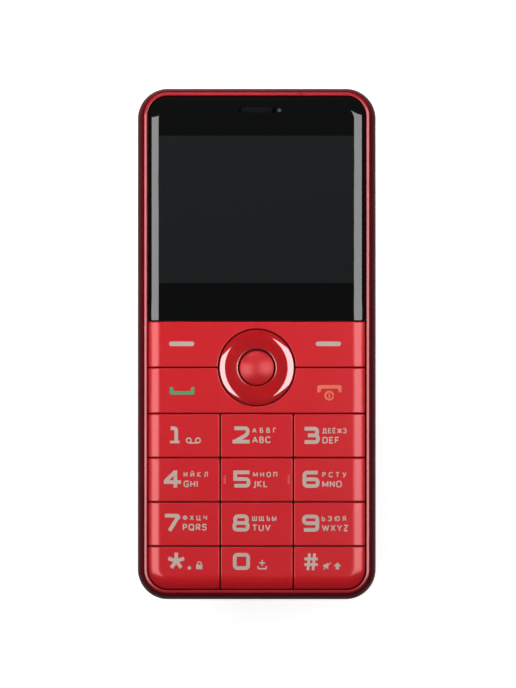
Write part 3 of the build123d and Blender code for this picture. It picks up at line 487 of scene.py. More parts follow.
def patch(sides):
    """A grid stretched over four sides: blends of opposite sides added, less the corners' blend."""
    bottom, right, top, left = sides[0], sides[1], sides[2][::-1], sides[3][::-1]
    x = np.linspace(0, 1, len(bottom))[None, :, None]
    y = np.linspace(0, 1, len(right))[:, None, None]
    across = (1 - y) * bottom[None] + y * top[None]
    along = (1 - x) * left[:, None] + x * right[:, None]
    flat = (1 - y) * ((1 - x) * bottom[0] + x * bottom[-1]) + y * ((1 - x) * top[0] + x * top[-1])
    return across + along - flat


def capped(sides_at, edge, low):
    """Points and faces of a cap: a crowned top, a rolled edge, upright sides and a flat underside."""
    top = patch(sides_at(edge))
    rows, columns = top.shape[:2]
    heights = crown_height(top[..., 0], top[..., 1])
    grid = np.concatenate([top, heights[..., None]], -1)
    index = np.arange(rows * columns).reshape(rows, columns)
    loop = np.concatenate([index[0, :-1], index[:-1, -1], index[-1, :0:-1], index[:0:-1, 0]])
    points, faces = [grid.reshape(-1, 3)], sheet_faces(rows, columns)
    count, before = len(loop), loop
    total = rows * columns
    for angle in list(turn(15, 90, 6)) + [None]:
        inset = 0.0 if angle is None else edge * (1 - np.sin(angle))
        flat = np.vstack([side[:-1] for side in sides_at(inset)])
        if angle is None:
            height = low
        else:
            height = crown_height(flat[:, 0], flat[:, 1]) - edge * (1 - np.cos(angle))
        points.append(at_height(flat, height))
        ring = np.arange(total, total + count)
        after, follow = np.roll(before, -1), np.roll(ring, -1)
        faces += np.column_stack([before, after, follow, ring]).tolist()
        before, total = ring, total + count
    points.append(at_height(patch(sides_at(0.0)).reshape(-1, 2), low))
    faces += (np.array(sheet_faces(rows, columns)) + total).tolist()
    return np.vstack(points), faces


LENS_CORNER = OPENING_CORNER - FACE_GAP
LOWER_CORNER = 0.35
LENS_ROUNDING = 0.12


def lens_sides(inset):
    """The lens's outline: rounded at its upper corners, nearly square at its lower ones."""
    low, high = LENS_LOW[:2] + inset, LENS_HIGH[:2] - inset
    corners = np.array((LOWER_CORNER, LOWER_CORNER, LENS_CORNER, LENS_CORNER)) - inset
    return cell_sides(low, high, corners, count=150, arc=16)


WINDOW_HALF = (23.45, 17.6)
WINDOW_MIDDLE = (0.0, 32.2)


def window_material():
    """Black gloss over the display's window, which shows a little lighter behind the clear acrylic."""
    material, tree, shader = new_material("lens_gloss", specular_ior_level=1.0)
    place = add_node(tree, "TexCoord").outputs["Object"]
    parts = add_node(tree, "SeparateXYZ", {0: place})
    inside = [add_node(tree, "Math", {0: part, 1: middle * MM, 2: half * MM}, operation="COMPARE").outputs[0]
              for part, middle, half in zip(parts.outputs, WINDOW_MIDDLE, WINDOW_HALF)]
    both = add_node(tree, "Math", dict(enumerate(inside)), operation="MULTIPLY").outputs[0]
    smears = noise(tree, place, 14.0, 4.0)
    set_inputs(tree, shader, {
        "Base Color": blend(tree, both, (0.0022, 0.0026, 0.0024, 1), (0.0085, 0.0105, 0.0105, 1)),
        "Roughness": remap(tree, smears, 0, 1, 0.035, 0.075),
        "Normal": relief(tree, smears, 0.0004, 0.25),
    })
    return material


def soft_edges(piece, width, angle):
    """Round the edges that bend by more than an angle."""
    bevel = piece.modifiers.new("soft_edges", "BEVEL")
    bevel.width = width * MM
    bevel.segments = 2
    bevel.limit_method = "ANGLE"
    bevel.angle_limit = np.radians(angle)


screen_lens = make_piece("screen_glass", *capped(lens_sides, LENS_ROUNDING, LENS_LOW[2]), "root",
                         "lens_black", window_material(), replaces=["screen_lens"])
EARPIECE_Y = HALF_LENGTH - 5.25
SLOT_LENGTH, SLOT_WIDTH = 9.0, 1.3
INDICATOR_X, INDICATOR_RADIUS = 5.4, 0.5
through = (LENS_LOW[2] - 1, FACE + 1)
cut_away(screen_lens, [
    prism(slot_outline(0, EARPIECE_Y, SLOT_LENGTH, SLOT_WIDTH), *through),
    prism(circle(INDICATOR_X, EARPIECE_Y, INDICATOR_RADIUS), *through),
])
soft_edges(screen_lens, 0.04, 60)

# Earpiece mesh: fine steel wire, woven over and under, and cut a little larger than the
# slot, coloured near black as painted shade for the recess under the slot. It is glued to the housing's deck
# under the slot, and keeps grit out of the earpiece.
MESH_LOW, MESH_HIGH = box_of("earpiece_mesh")
slot_shade_wire = finish("slot_shade_wire", (0.003, 0.003, 0.0035), 0.55, specular=0.05, grain=0.05, depth=0.003,
                    spread=0.2)


def gathered(parts):
    """Several lots of points and faces as one."""
    points, faces, total = [], [], 0
    for more_points, more_faces in parts:
        points.append(np.asarray(more_points, float))
        faces += [[number + total for number in face] for face in more_faces]
        total += len(more_points)
    return np.vstack(points), faces


def woven(low, high, height, pitch, radius):
    """Crossing wires: each follows a sine wave of one wire radius, up over one and down under the next."""
    sides, steps_per_wire = 5, 2
    wires = []
    angle = np.linspace(0, 2 * np.pi, sides, endpoint=False)
    for axis in (0, 1):
        count = int((high[axis] - low[axis]) / pitch * steps_per_wire) + 1
        along = np.linspace(low[axis] + radius, high[axis] - radius, count)
        for number, place in enumerate(np.arange(low[1 - axis] + pitch / 2, high[1 - axis], pitch)):
            sway = np.sin(np.pi * (along - low[axis]) / pitch + np.pi * number + np.pi / 2 * axis) * radius
            rings = np.zeros((count, sides, 3))
            rings[..., axis] = along[:, None]
            rings[..., 1 - axis] = place + radius * np.cos(angle)
            rings[..., 2] = height + sway[:, None] + radius * np.sin(angle)
            wires.append(tube(rings))
    return gathered(wires)


weave = woven(MESH_LOW, MESH_HIGH, MESH_HIGH[2] - 0.06, pitch=0.24, radius=0.03)
make_piece("earpiece_weave", *weave, "root", "steel", slot_shade_wire, replaces=["earpiece_mesh"])


# Key caps: moulded clear plastic, sprayed satin red from above, glued to the silicone mat's bosses.
# Each is a cell of the crowned face with a finely rolled edge. Four make room for the ring.
NAV_LOW, NAV_HIGH = box_of("nav_ring")
NAV_Y = (NAV_LOW[1] + NAV_HIGH[1]) / 2
RING_OUTER = (NAV_HIGH[0] - NAV_LOW[0]) / 2
CAP_EDGE = 0.2
CAP_CORNER = 0.35
NOTCH = RING_OUTER + FACE_GAP
PAIR_GAP = 0.015


def satin_red():
    """Satin red lacquer with fine metal flakes: each flake tilts the surface a little."""
    material, tree, shader = new_material("satin_red", metallic=0.1, specular_ior_level=0.7)
    place = add_node(tree, "TexCoord").outputs["Object"]
    flakes = add_node(tree, "TexVoronoi", {"Vector": place, "Scale": 1 / (0.055 * MM)}).outputs["Color"]
    level = add_node(tree, "RGBToBW", {0: flakes}).outputs[0]
    set_inputs(tree, shader, {
        "Base Color": blend(tree, level, (0.50, 0.010, 0.016, 1), (0.60, 0.016, 0.022, 1)),
        "Roughness": remap(tree, noise(tree, place, 6.0, 5.0), 0, 1, 0.15, 0.21),
        "Normal": relief(tree, level, 0.002, 0.5),
    })
    return material


key_red = satin_red()


def plain_cell(node):
    """The sides of a number key, rounded more where it meets the opening's corner."""
    low, high = (end[:2] for end in box_of(node))
    corners = [CAP_CORNER] * 4
    if node == "key_star":
        corners[0] = LENS_CORNER
    if node == "key_hash":
        corners[1] = LENS_CORNER
    return lambda inset: cell_sides(low + inset, high - inset, np.array(corners) - inset, count=48)


def notched_cell(node):
    """The sides of a key beside the ring: the corner nearest the ring is an arc about its middle."""
    low, high = (end[:2] for end in box_of(node))
    flip_x = -1 if low[0] > -1 else 1
    flip_y = -1 if high[1] < NAV_Y else 1
    outer = max(abs(low[0]), abs(high[0]))
    near, far = sorted((abs(low[1] - NAV_Y), abs(high[1] - NAV_Y)))
    count, notch_count, arc = 56, 44, 7

    def sides(inset):
        """Sides of the upper left key about the ring's middle, mirrored to where the key lies."""
        left, right, bottom, top = -outer + inset, -PAIR_GAP - 0.08 * inset, near + inset, far - inset
        radius = NOTCH + inset
        round_left = cell_sides((left, bottom), (right, top), [CAP_CORNER - inset] * 4, count, arc)
        start, end = np.pi - np.arcsin(bottom / radius), np.pi - np.arccos(-right / radius)
        angle = np.linspace(start, end, notch_count)
        curve = radius * np.column_stack([np.cos(angle), np.sin(angle)])
        heights = np.linspace(curve[-1, 1], top, count - notch_count + 1)[1:]
        rise = np.column_stack([np.full(len(heights), right), heights])
        share = np.linspace(0, 1, count - arc + 1)[1:, None]
        begin, close = round_left[0][:arc], round_left[2][-arc:]
        lower = np.vstack([begin, begin[-1] + (curve[0] - begin[-1]) * share])
        tip = np.array((right, top))
        upper = np.vstack([tip + (close[0] - tip) * (1 - share[::-1]), close])
        found = [lower, np.vstack([curve, rise]), upper, round_left[3]]
        return [side * (flip_x, flip_y) + (0, NAV_Y) for side in found]

    return sides


number_keys = [f"key_{number}" for number in range(1, 10)] + ["key_star", "key_0", "key_hash"]
side_keys = ["soft_key_left", "soft_key_right", "call_key", "end_key"]
CAP_LOW = box_of("key_1")[0][2]
for node in number_keys + side_keys:
    outline = plain_cell(node) if node in number_keys else notched_cell(node)
    cap = capped(outline, CAP_EDGE, CAP_LOW)
    make_piece(f"{node}_cap", *cap, node, "key_red", key_red, replaces=[node])

# Finger marks on the 5 key: two low capsules, moulded with the cap and sprayed with it. They stand up
# and down the key, left and right of its legend, so that a thumb finds the middle of the pad.
KEY_5_LOW, KEY_5_HIGH = box_of("key_5")
MARK_LENGTH, MARK_WIDTH, MARK_RISE, MARK_INSET = 2.6, 0.72, 0.19, 0.95
MARK_EDGE = 0.25


def capsule(inset, x, y):
    """The outline of a mark about its middle, drawn in by an inset."""
    flat = slot_outline(0, 0, MARK_LENGTH - 2 * inset, MARK_WIDTH - 2 * inset)
    return flat[:, ::-1] * (1, -1) + (x, y)


def mark(x, y):
    """A low pad that rolls in as a quarter ellipse while it climbs to its flat top."""
    low, rise = FACE - 0.03, MARK_RISE + 0.02
    rings = [at_height(capsule(0, x, y), low)]
    for angle in turn(0, 90, 5):
        flat = capsule(MARK_EDGE * (1 - np.cos(angle)), x, y)
        rings.append(at_height(flat, low + rise * (0.2 + 0.8 * np.sin(angle))))
    return tube(rings)


mark_y = (KEY_5_LOW[1] + KEY_5_HIGH[1]) / 2
marks = [mark(x, mark_y) for x in (KEY_5_LOW[0] + MARK_INSET, KEY_5_HIGH[0] - MARK_INSET)]
make_piece("key_5_marks", *gathered(marks), "key_5", "key_red", key_red)


# Navigation ring: one moulded cap, sprayed and lacquered to a high gloss, rolling from its inner
# edge over a crest to its outer edge. It is clipped to a hard carrier and rocks to four sides.
RING_INNER = 4.46
RING_CREST_RADIUS = 6.3
RING_FALL_START, RING_FALL_RADIUS = 7.0, 7.0
RING_TOP = NAV_HIGH[2]
RING_LOW = box_of("nav_ring_carrier")[1][2] + 0.25
FOOT_RADIUS, FOOT_REACH = 0.25, 0.75
gloss_red = finish("gloss_red", (0.45, 0.005, 0.008), 0.24, metallic=0.1, grain=1.5, depth=0.0006,
                   clouds=0.05, spread=0.15, specular=0.15, coat=1.0, coat_roughness=0.04, coat_ior=2.6)


def turned(profile, count=160, middle=(0.0, 0.0)):
    """A profile of radius and height turned once round an upright line."""
    profile = np.asarray(profile, float)
    angle = np.linspace(0, 2 * np.pi, count, endpoint=False)
    radius, height = profile[:, :1], profile[:, 1:]
    x, y = middle[0] + radius * np.cos(angle), middle[1] + radius * np.sin(angle)
    points = np.stack([x, y, np.broadcast_to(height, x.shape)], -1).reshape(-1, 3)
    closed = not (np.isclose(profile[0, 0], 0) and np.isclose(profile[-1, 0], 0))
    return points, sheet_faces(len(profile), count, closed_rows=closed, closed_columns=True)


EDGE_ROUNDING = 0.28
INNER_FALL_RADIUS = 34.0
crest_radii = np.linspace(RING_INNER + EDGE_ROUNDING, RING_OUTER - EDGE_ROUNDING, 36)
fall_radius = np.where(crest_radii > RING_FALL_START, RING_FALL_RADIUS, INNER_FALL_RADIUS)
crest_line = RING_TOP - fall_radius + np.sqrt(fall_radius**2 - (crest_radii - RING_FALL_START) ** 2)
ring_profile = list(zip(crest_radii, crest_line))
outer_lean = np.arcsin((crest_radii[-1] - RING_FALL_START) / RING_FALL_RADIUS)
for angle in np.linspace(outer_lean, np.pi / 2, 8)[1:]:
    out = (np.sin(angle) - np.sin(outer_lean)) / (1 - np.sin(outer_lean))
    down = np.cos(outer_lean) - np.cos(angle)
    ring_profile.append((crest_radii[-1] + EDGE_ROUNDING * out, crest_line[-1] - EDGE_ROUNDING * down))
ring_profile += [(RING_OUTER, RING_LOW + 0.05), (RING_OUTER - 0.05, RING_LOW)]
ring_profile += [(RING_INNER + 0.05, RING_LOW), (RING_INNER, RING_LOW + 0.05)]
for angle in turn(90, 10, 8):
    inward, down = 1 - np.sin(angle), 1 - np.cos(angle)
    ring_profile.append((RING_INNER + EDGE_ROUNDING * inward, crest_line[0] - EDGE_ROUNDING * down))
ring_body = turned(ring_profile, middle=(0, NAV_Y))
# Two short round ribs under the cap stand on the carrier
feet = []
for side in (-1, 1):
    end = circle(0, RING_LOW, FOOT_RADIUS, 20)
    middle = NAV_Y + side * RING_CREST_RADIUS
    feet.append(tube([np.insert(end, 1, middle + reach, axis=1) for reach in (-FOOT_REACH, FOOT_REACH)]))
make_piece("nav_ring_cap", *gathered([ring_body, *feet]), "nav_ring", "ring_red", gloss_red,
           replaces=["nav_ring"])


# OK button: a moulded cap with a domed top, sprayed satin red, in the middle of the ring. It is glued
# to a boss of its own on the key mat.
OK_LOW, OK_HIGH = box_of("ok_button")
OK_RADIUS = (OK_HIGH[0] - OK_LOW[0]) / 2
OK_RISE = 0.85
OK_EDGE = 0.12
OK_ARC = (OK_RADIUS**2 + OK_RISE**2) / (2 * OK_RISE)
ok_red = finish("ok_red", (0.52, 0.012, 0.018), 0.33, metallic=0.2, grain=0.06, depth=0.0008, clouds=0.04,
                spread=0.12, coat=0.25, coat_roughness=0.3)
dome_radii = np.linspace(0, OK_RADIUS - OK_EDGE, 26)
dome_line = OK_HIGH[2] - OK_ARC + np.sqrt(OK_ARC**2 - dome_radii**2)
ok_profile = list(zip(dome_radii, dome_line))
for angle in turn(30, 90, 5):
    inward, down = OK_EDGE * (1 - np.sin(angle)), OK_EDGE * (1 - np.cos(angle)) + 0.02
    ok_profile.append((OK_RADIUS - inward, dome_line[-1] - down))
ok_profile += [(OK_RADIUS, OK_LOW[2] + 0.04), (OK_RADIUS - 0.04, OK_LOW[2]), (0, OK_LOW[2])]
ok_cap = turned(ok_profile, middle=(0, NAV_Y))
make_piece("ok_cap", *ok_cap, "ok_button", "button_red", ok_red, replaces=["ok_button"])


# Legends: pad-printed ink, a few hundredths of a millimetre thick, on each cap. Numbers are bold
# square strokes with round corners, beside small letters of two alphabets and plain signs.
INK_HIGH = FACE + 0.02
INK_LOW = FACE - 0.03
INK_STEP = 0.001
MITRE_LIMIT = 0.75
DIGIT_SIZE = 3.2  # between the middles of the outer strokes
DIGIT_STROKE = 0.88
DIGIT_ROUNDING = 0.75
LETTER_ROUNDING = 0.36  # in shares of a letter's height
ink_grey = finish("ink_grey", (0.42, 0.325, 0.285), 0.55, grain=0.12, depth=0.002, clouds=0.06, spread=0.1,
                  wear=(0.42, 0.28, 0.24))
ink_green = finish("ink_green", (0.055, 0.24, 0.10), 0.5, grain=0.12, depth=0.002, clouds=0.06, spread=0.1)
ink_orange = finish("ink_orange", (0.60, 0.13, 0.07), 0.5, grain=0.12, depth=0.002, clouds=0.06, spread=0.1)


def rounded_line(corners, rounding, closed):
    """A line through corners, each cut by a parabola that blends its two runs."""
    corners = np.asarray(corners, float)
    count = len(corners)
    line = [] if closed else [corners[0][None]]
    share = np.linspace(0, 1, 6)[:, None]
    for step in range(0 if closed else 1, count if closed else count - 1):
        here, back, on = corners[step], corners[step - 1], corners[(step + 1) % count]
        lengths = np.linalg.norm(back - here), np.linalg.norm(on - here)
        cut = min(rounding, 0.5 * lengths[0], 0.5 * lengths[1])
        first = here + (back - here) * cut / lengths[0]
        last = here + (on - here) * cut / lengths[1]
        line.append((1 - share) ** 2 * first + 2 * share * (1 - share) * here + share**2 * last)
    if not closed:
        line.append(corners[-1][None])
    return np.vstack(line)


def stroke(corners, width, rounding=0.0, closed=False, place=(0, 0)):
    """An inked band of one width along a rounded line, with square ends and mitred corners.

    Repeated points are dropped, and a mitre's length is clipped, so that no corner grows a spike.
    """
    line = rounded_line(corners, rounding, closed) if rounding else np.asarray(corners, float)
    apart = np.linalg.norm(line - np.roll(line, 1, 0), axis=1) > 1e-6
    line = line[apart | (np.arange(len(line)) == 0) & (not closed)] + place
    if closed:
        ahead, back = np.roll(line, -1, 0) - line, line - np.roll(line, 1, 0)
    else:
        runs = np.diff(line, axis=0)
        ahead, back = np.vstack([runs, runs[-1:]]), np.vstack([runs[:1], runs])
    ahead /= np.linalg.norm(ahead, axis=1)[:, None]
    back /= np.linalg.norm(back, axis=1)[:, None]
    mean = ahead + back
    mean /= np.linalg.norm(mean, axis=1)[:, None]
    stretch = 1 / np.clip((mean * ahead).sum(1), MITRE_LIMIT, 1)[:, None]
    normal = mean[:, ::-1] * (-1, 1) * stretch * width / 2
    left, right = line + normal, line - normal
    edges = ((left, INK_HIGH), (right, INK_HIGH), (right, INK_LOW), (left, INK_LOW))
    rings = np.stack([at_height(edge, height) for edge, height in edges], 1)
    return endless(rings) if closed else tube(rings)


def patch_of_ink(outline, place=(0, 0)):
    """A flat inked shape inside an outline about a place."""
    flat = np.asarray(outline, float) + place
    return tube([at_height(flat, height) for height in (INK_LOW, INK_HIGH)])


def print_on(node, parts, ink=ink_grey):
    """Print inked shapes on a cap, each a hair higher than the last where they cross."""
    raised = [(points + (0, 0, INK_STEP * step), faces) for step, (points, faces) in enumerate(parts)]
    make_piece(f"{node}_legend", *gathered(raised), node, "frame_white", ink, sharp=0)


# Each letter's runs of points in shares of its height: "~" marks a run with round corners, "@" a closed one
letter_runs = {
    "A": "0 0 .42 1 | .42 1 .84 0 | .15 .3 .69 .3",
    "B": "0 0 0 1 | ~ 0 1 .56 1 .56 .53 0 .53 | ~ 0 .53 .64 .53 .64 0 0 0",
    "C": "~ .72 .78 .72 1 0 1 0 0 .72 0 .72 .22",
    "D": "0 0 0 1 | ~ 0 1 .76 1 .76 0 0 0",
    "E": ".6 0 0 0 0 1 .6 1 | 0 .5 .52 .5",
    "F": "0 0 0 1 .6 1 | 0 .5 .52 .5",
    "G": "~ .74 .78 .74 1 0 1 0 0 .76 0 .76 .45 | .42 .45 .76 .45",
    "H": "0 0 0 1 | .7 0 .7 1 | 0 .5 .7 .5",
    "I": "0 0 0 1",
    "J": "~ .3 1 .3 -.15 -.05 -.15",
    "K": "0 0 0 1 | .64 1 .02 .48 .68 0",
    "L": "0 1 0 0 .56 0",
    "M": "0 0 0 1 | 0 .95 .46 .15 | .46 .15 .92 .95 | .92 0 .92 1",
    "N": "0 0 0 1 | 0 .95 .72 .05 | .72 0 .72 1",
    "O": "@ 0 0 .84 0 .84 1 0 1",
    "P": "0 0 0 1 | ~ 0 1 .6 1 .6 .44 0 .44",
    "Q": "@ 0 0 .84 0 .84 1 0 1 | .5 .25 .9 -.12",
    "R": "0 0 0 1 | ~ 0 1 .6 1 .6 .44 0 .44 | .3 .44 .66 0",
    "S": "~ .6 .82 .6 1 0 1 0 .52 .62 .52 .62 0 0 0 0 .2",
    "T": "0 1 .72 1 | .36 1 .36 0",
    "U": "~ 0 1 0 0 .72 0 .72 1",
    "V": "0 1 .4 0 | .4 0 .8 1",
    "W": "0 1 .3 0 | .3 0 .58 .9 | .58 .9 .86 0 | .86 0 1.16 1",
    "X": "0 0 .7 1 | 0 1 .7 0",
    "Y": "0 1 .37 .45 .74 1 | .37 .45 .37 0",
    "Z": "0 1 .66 1 | .64 .98 .02 .02 | 0 0 .66 0",
    "\u0411": ".58 1 0 1 0 0 | ~ 0 .56 .6 .56 .6 0 0 0",
    "\u0413": "0 0 0 1 .56 1",
    "\u0414": ".14 0 .2 1 .66 1 .66 0 | -.02 -.2 -.02 0 .84 0 .84 -.2",
    "\u0401": ".6 0 0 0 0 1 .6 1 | 0 .5 .52 .5 | .1 1.3 .22 1.3 | .4 1.3 .52 1.3",
    "\u0416": ".5 0 .5 1 | 0 1 .4 .5 0 0 | 1 1 .6 .5 1 0",
    "\u0417": "~ 0 .84 0 1 .58 1 .58 .53 .2 .53 | ~ .2 .53 .62 .53 .62 0 0 0 0 .18",
    "\u0418": "0 0 0 1 | 0 .05 .7 .95 | .7 0 .7 1",
    "\u0419": "0 0 0 1 | 0 .05 .7 .95 | .7 0 .7 1 | ~ .18 1.36 .18 1.24 .52 1.24 .52 1.36",
    "\u041b": "~ -.04 0 .14 0 .2 1 | .2 1 .68 1 .68 0",
    "\u041f": "0 0 0 1 .7 1 .7 0",
    "\u0423": "0 1 .36 .36 | ~ .72 1 .3 0 .04 0",
    "\u0424": "@ 0 .2 .86 .2 .86 .84 0 .84 | .43 -.04 .43 1.06",
    "\u0426": "0 1 0 0 .78 0 .78 -.2 | .66 0 .66 1",
    "\u0427": "~ 0 1 0 .46 .64 .46 | .64 1 .64 0",
    "\u0428": "0 1 0 0 .92 0 .92 1 | .46 0 .46 1",
    "\u0429": "0 1 0 0 1.04 0 1.04 -.2 | .46 0 .46 1 | .92 0 .92 1",
    "\u042a": "-.02 1 .2 1 .2 0 | ~ .2 .56 .76 .56 .76 0 .2 0",
    "\u042b": "0 1 0 0 | ~ 0 .56 .5 .56 .5 0 0 0 | .82 0 .82 1",
    "\u042c": "0 1 0 0 | ~ 0 .56 .6 .56 .6 0 0 0",
    "\u042d": "~ 0 .8 0 1 .7 1 .7 0 0 0 0 .2 | .22 .5 .7 .5",
    "\u042e": "0 0 0 1 | 0 .5 .28 .5 | @ .28 0 .98 0 .98 1 .28 1",
    "\u042f": ".62 0 .62 1 | ~ .62 1 .02 1 .02 .44 .62 .44 | .32 .44 -.04 0",
}
for twin, latin in zip("\u0410\u0412\u0415\u041a\u041c\u041d\u041e\u0420\u0421\u0422\u0425", "ABEKMHOPCTX"):
    letter_runs[twin] = letter_runs[latin]


def runs_of(text):
    """The runs of a sign, each with its corners, whether they are round, and whether it is closed."""
    runs = []
    for run in text.split("|"):
        run = run.strip()
        corners = np.array(run.strip("~@ ").split(), float).reshape(-1, 2)
        runs.append((corners, run[0] in "~@", run[0] == "@"))
    return runs


def letters(words, left, base, height, weight, gap=0.3, length=None):
    """Small capitals in strokes of one weight, from a left end on; a given length sets the gaps."""
    size = height - weight
    drawn = [runs_of(letter_runs[sign]) for sign in words]
    widths = [weight + size * max(corners[:, 0].max() for corners, rounded, closed in runs) for runs in drawn]
    if length is not None:
        gap = (length - sum(widths)) / (len(words) - 1)
    parts = []
    for runs, width in zip(drawn, widths):
        place = (left + weight / 2, base + weight / 2)
        for corners, rounded, closed in runs:
            parts.append(stroke(corners * size, weight, LETTER_ROUNDING * size * rounded, closed, place))
        left += width + gap
    return parts


# Numbers likewise, in shares of the size between the middles of their outer strokes
digit_runs = {
    "1": ".3125 1 .71875 1 .71875 0",
    "2": "0 1 1 1 1 .55 .1 .05 | -.1375 0 1.1375 0",
    "3": "0 1 .94 1 .94 .5 .25 .5 | .25 .5 1 .5 1 0 0 0",
    "4": ".72 1.1375 .72 -.1375 | .66 1 0 .36 | -.1375 .28 1.1375 .28",
    "5": "1.06875 1 -.1375 1 | 0 1 0 .5 | -.1375 .5 1 .5 1 0 -.06875 0",
    "6": "1 1 0 1 0 0 1 0 1 .5 .5 .5 | 0 .5 .8 .5",
    "7": "0 1 1 1 1 .74 | .95 .85 .35 -.125",
    "8": "@ 0 0 1 0 1 .5 0 .5 | @ .06 .5 .94 .5 .94 1 .06 1",
    "9": "0 0 1 0 1 1 0 1 0 .5 .5 .5 | .2 .5 1 .5",
    "0": "@ 0 0 1 0 1 1 0 1",
    "#": "0 .3 1 .3 | 0 .72 1 .72 | .26 -.125 .38 1.125 | .64 -.125 .76 1.125",
}


def digit(sign, left, middle):
    """A number drawn as strokes with round corners, from its left edge and the height of its middle."""
    width = DIGIT_STROKE * (0.75 if sign == "#" else 1.0)
    place = (left + DIGIT_STROKE / 2, middle - DIGIT_SIZE / 2)
    return [stroke(corners * DIGIT_SIZE, width, DIGIT_ROUNDING, closed, place)
            for corners, rounded, closed in runs_of(digit_runs[sign])]


def arc_line(x, y, radius, start, end, count=24):
    """Points along a part of a circle."""
    angle = turn(start, end, count)
    return np.column_stack([x + radius * np.cos(angle), y + radius * np.sin(angle)])


# For each key its number, the number's left edge and middle, and two lines of letters
letter_keys = {
    "key_2": ("2", -5.8, -21.75, "\u0410\u0411\u0412\u0413", "ABC"),
    "key_3": ("3", 11.0, -21.85, "\u0414\u0415\u0401\u0416\u0417", "DEF"),
    "key_4": ("4", -22.2, -32.3, "\u0418\u0419\u041a\u041b", "GHI"),
    "key_5": ("5", -5.6, -32.3, "\u041c\u041d\u041e\u041f", "JKL"),
    "key_6": ("6", 10.95, -32.35, "\u0420\u0421\u0422\u0423", "MNO"),
    "key_7": ("7", -22.4, -42.65, "\u0424\u0425\u0426\u0427", "PQRS"),
    "key_8": ("8", -5.8, -42.8, "\u0428\u0429\u042a\u042b", "TUV"),
    "key_9": ("9", 10.85, -42.85, "\u042c\u042d\u042e\u042f", "WXYZ"),
}
LETTERS_GAP = 0.62
UPPER_LINE, LOWER_LINE = 0.48, -1.95  # the feet of the two lines of letters, from the number's middle
for node, (sign, left, middle, upper, lower) in letter_keys.items():
    parts = digit(sign, left, middle)
    beside = left + DIGIT_SIZE + DIGIT_STROKE + LETTERS_GAP
    parts += letters(upper, beside, middle + UPPER_LINE, height=1.24, weight=0.24, length=5.8)
    parts += letters(lower, beside, middle + LOWER_LINE, height=1.6, weight=0.30)
    print_on(node, parts)

# Voicemail loops beside the 1, and dashes on the soft keys
loops = [stroke(circle(x, -23.05, 0.55, 20), 0.32, closed=True) for x in (-16.25, -14.05)]
loops.append(stroke([(-16.25, -23.66), (-14.05, -23.66)], 0.32))
loops.append(stroke([(-20.75, -23.45), (-18.45, -23.45)], 0.6))
print_on("key_1", digit("1", -22.0, -21.75) + loops)
for node, middle in (("soft_key_left", -17.95), ("soft_key_right", 17.12)):
    print_on(node, [patch_of_ink(slot_outline(middle, 0.04, 6.05, 1.1))])

# Star, dot and padlock; plus over a bracket beside the 0; crossed-out speaker and arrow beside the hash
star_place, lock_place = np.array((-19.25, -51.9)), np.array((-13.75, -53.3))
star = []
for angle in turn(90, 378, 5):
    star.append(stroke([(0, 0), 2.0 * np.array((np.cos(angle), np.sin(angle)))], 0.85, place=star_place))
star.append(patch_of_ink(circle(-16.1, -53.55, 0.42, 16)))
star.append(patch_of_ink([(-0.75, -0.55), (0.75, -0.55), (0.75, 0.55), (-0.75, 0.55)], lock_place))
star.append(stroke(arc_line(0, 0.75, 0.45, -25, 205, 14), 0.26, place=lock_place))
print_on("key_star", star)

plus_place = (1.3, -52.35)
zero = digit("0", -5.7, -52.0)
zero.append(stroke([(-0.7, 0), (0.7, 0)], 0.36, place=plus_place))
zero.append(stroke([(0, -0.7), (0, 0.7)], 0.36, place=plus_place))
bracket = [(-0.95, -0.75), (-0.95, -1.4), (0.95, -1.4), (0.95, -0.75)]
print_on("key_0", zero + [stroke(bracket, 0.34, 0.2, place=plus_place)])

horn_place, arrow_place = (16.8, -53.05), (19.3, -53.1)
horn = [(-0.9, -0.3), (-0.4, -0.3), (0.3, -0.8), (0.3, 0.8), (-0.4, 0.3), (-0.9, 0.3)]
arrow = [(-0.95, -0.05), (0, 0.85), (0.95, -0.05), (0.4, -0.05), (0.4, -0.8), (-0.4, -0.8), (-0.4, -0.05)]
print_on("key_hash", digit("#", 10.95, -52.1) + [
    patch_of_ink(horn, horn_place),
    stroke([(-0.8, -0.85), (0.95, 0.75)], 0.22, place=horn_place),
    patch_of_ink(arrow, arrow_place),
])

# Receiver lifted, in green, on the call key, and laid down over a power sign, in orange, on the end key
lifted = [(-20.8, -10.2), (-20.1, -10.35), (-19.7, -11.3), (-16.0, -11.3), (-15.6, -10.35), (-14.9, -10.2),
          (-14.9, -11.85), (-15.15, -12.1), (-20.55, -12.1), (-20.8, -11.85)]
print_on("call_key", [patch_of_ink(lifted)], ink_green)
laid = [(14.5, -11.6), (14.5, -10.15), (14.8, -9.85), (20.0, -9.85), (20.3, -10.15), (20.3, -11.6),
        (19.6, -11.5), (19.35, -10.65), (15.45, -10.65), (15.2, -11.5)]
power_place = (17.35, -12.35)
print_on("end_key", [
    patch_of_ink(laid),
    stroke(arc_line(0, 0, 0.95, 0, 345, 30), 0.42, place=power_place),
    stroke([(0, 0.5), (0, -0.5)], 0.34, place=power_place),
], ink_orange)


# Mouths in the front housing: the upper part of the headphone jack's round mouth and of the charging
# socket's, which both cross the seam, and the microphone's pinhole. The mould's cores leave them.
SEAT_JACK = box_of("headphone_jack")
JACK_X, JACK_Z = ((SEAT_JACK[0][axis] + SEAT_JACK[1][axis]) / 2 for axis in (0, 2))
PORT_LOW, PORT_HIGH = box_of("charging_socket")
SOCKET_Z = (PORT_LOW[2] + PORT_HIGH[2]) / 2
JACK_MOUTH = 2.2
SOCKET_MOUTH = (3.95, 1.5)
SOCKET_CORNER = 0.85
MICROPHONE_X, MICROPHONE_Z, MICROPHONE_HOLE = -13.0, 8.3, 0.4
THROUGH = 2.2  # how far the cutting shapes reach in from the end faces


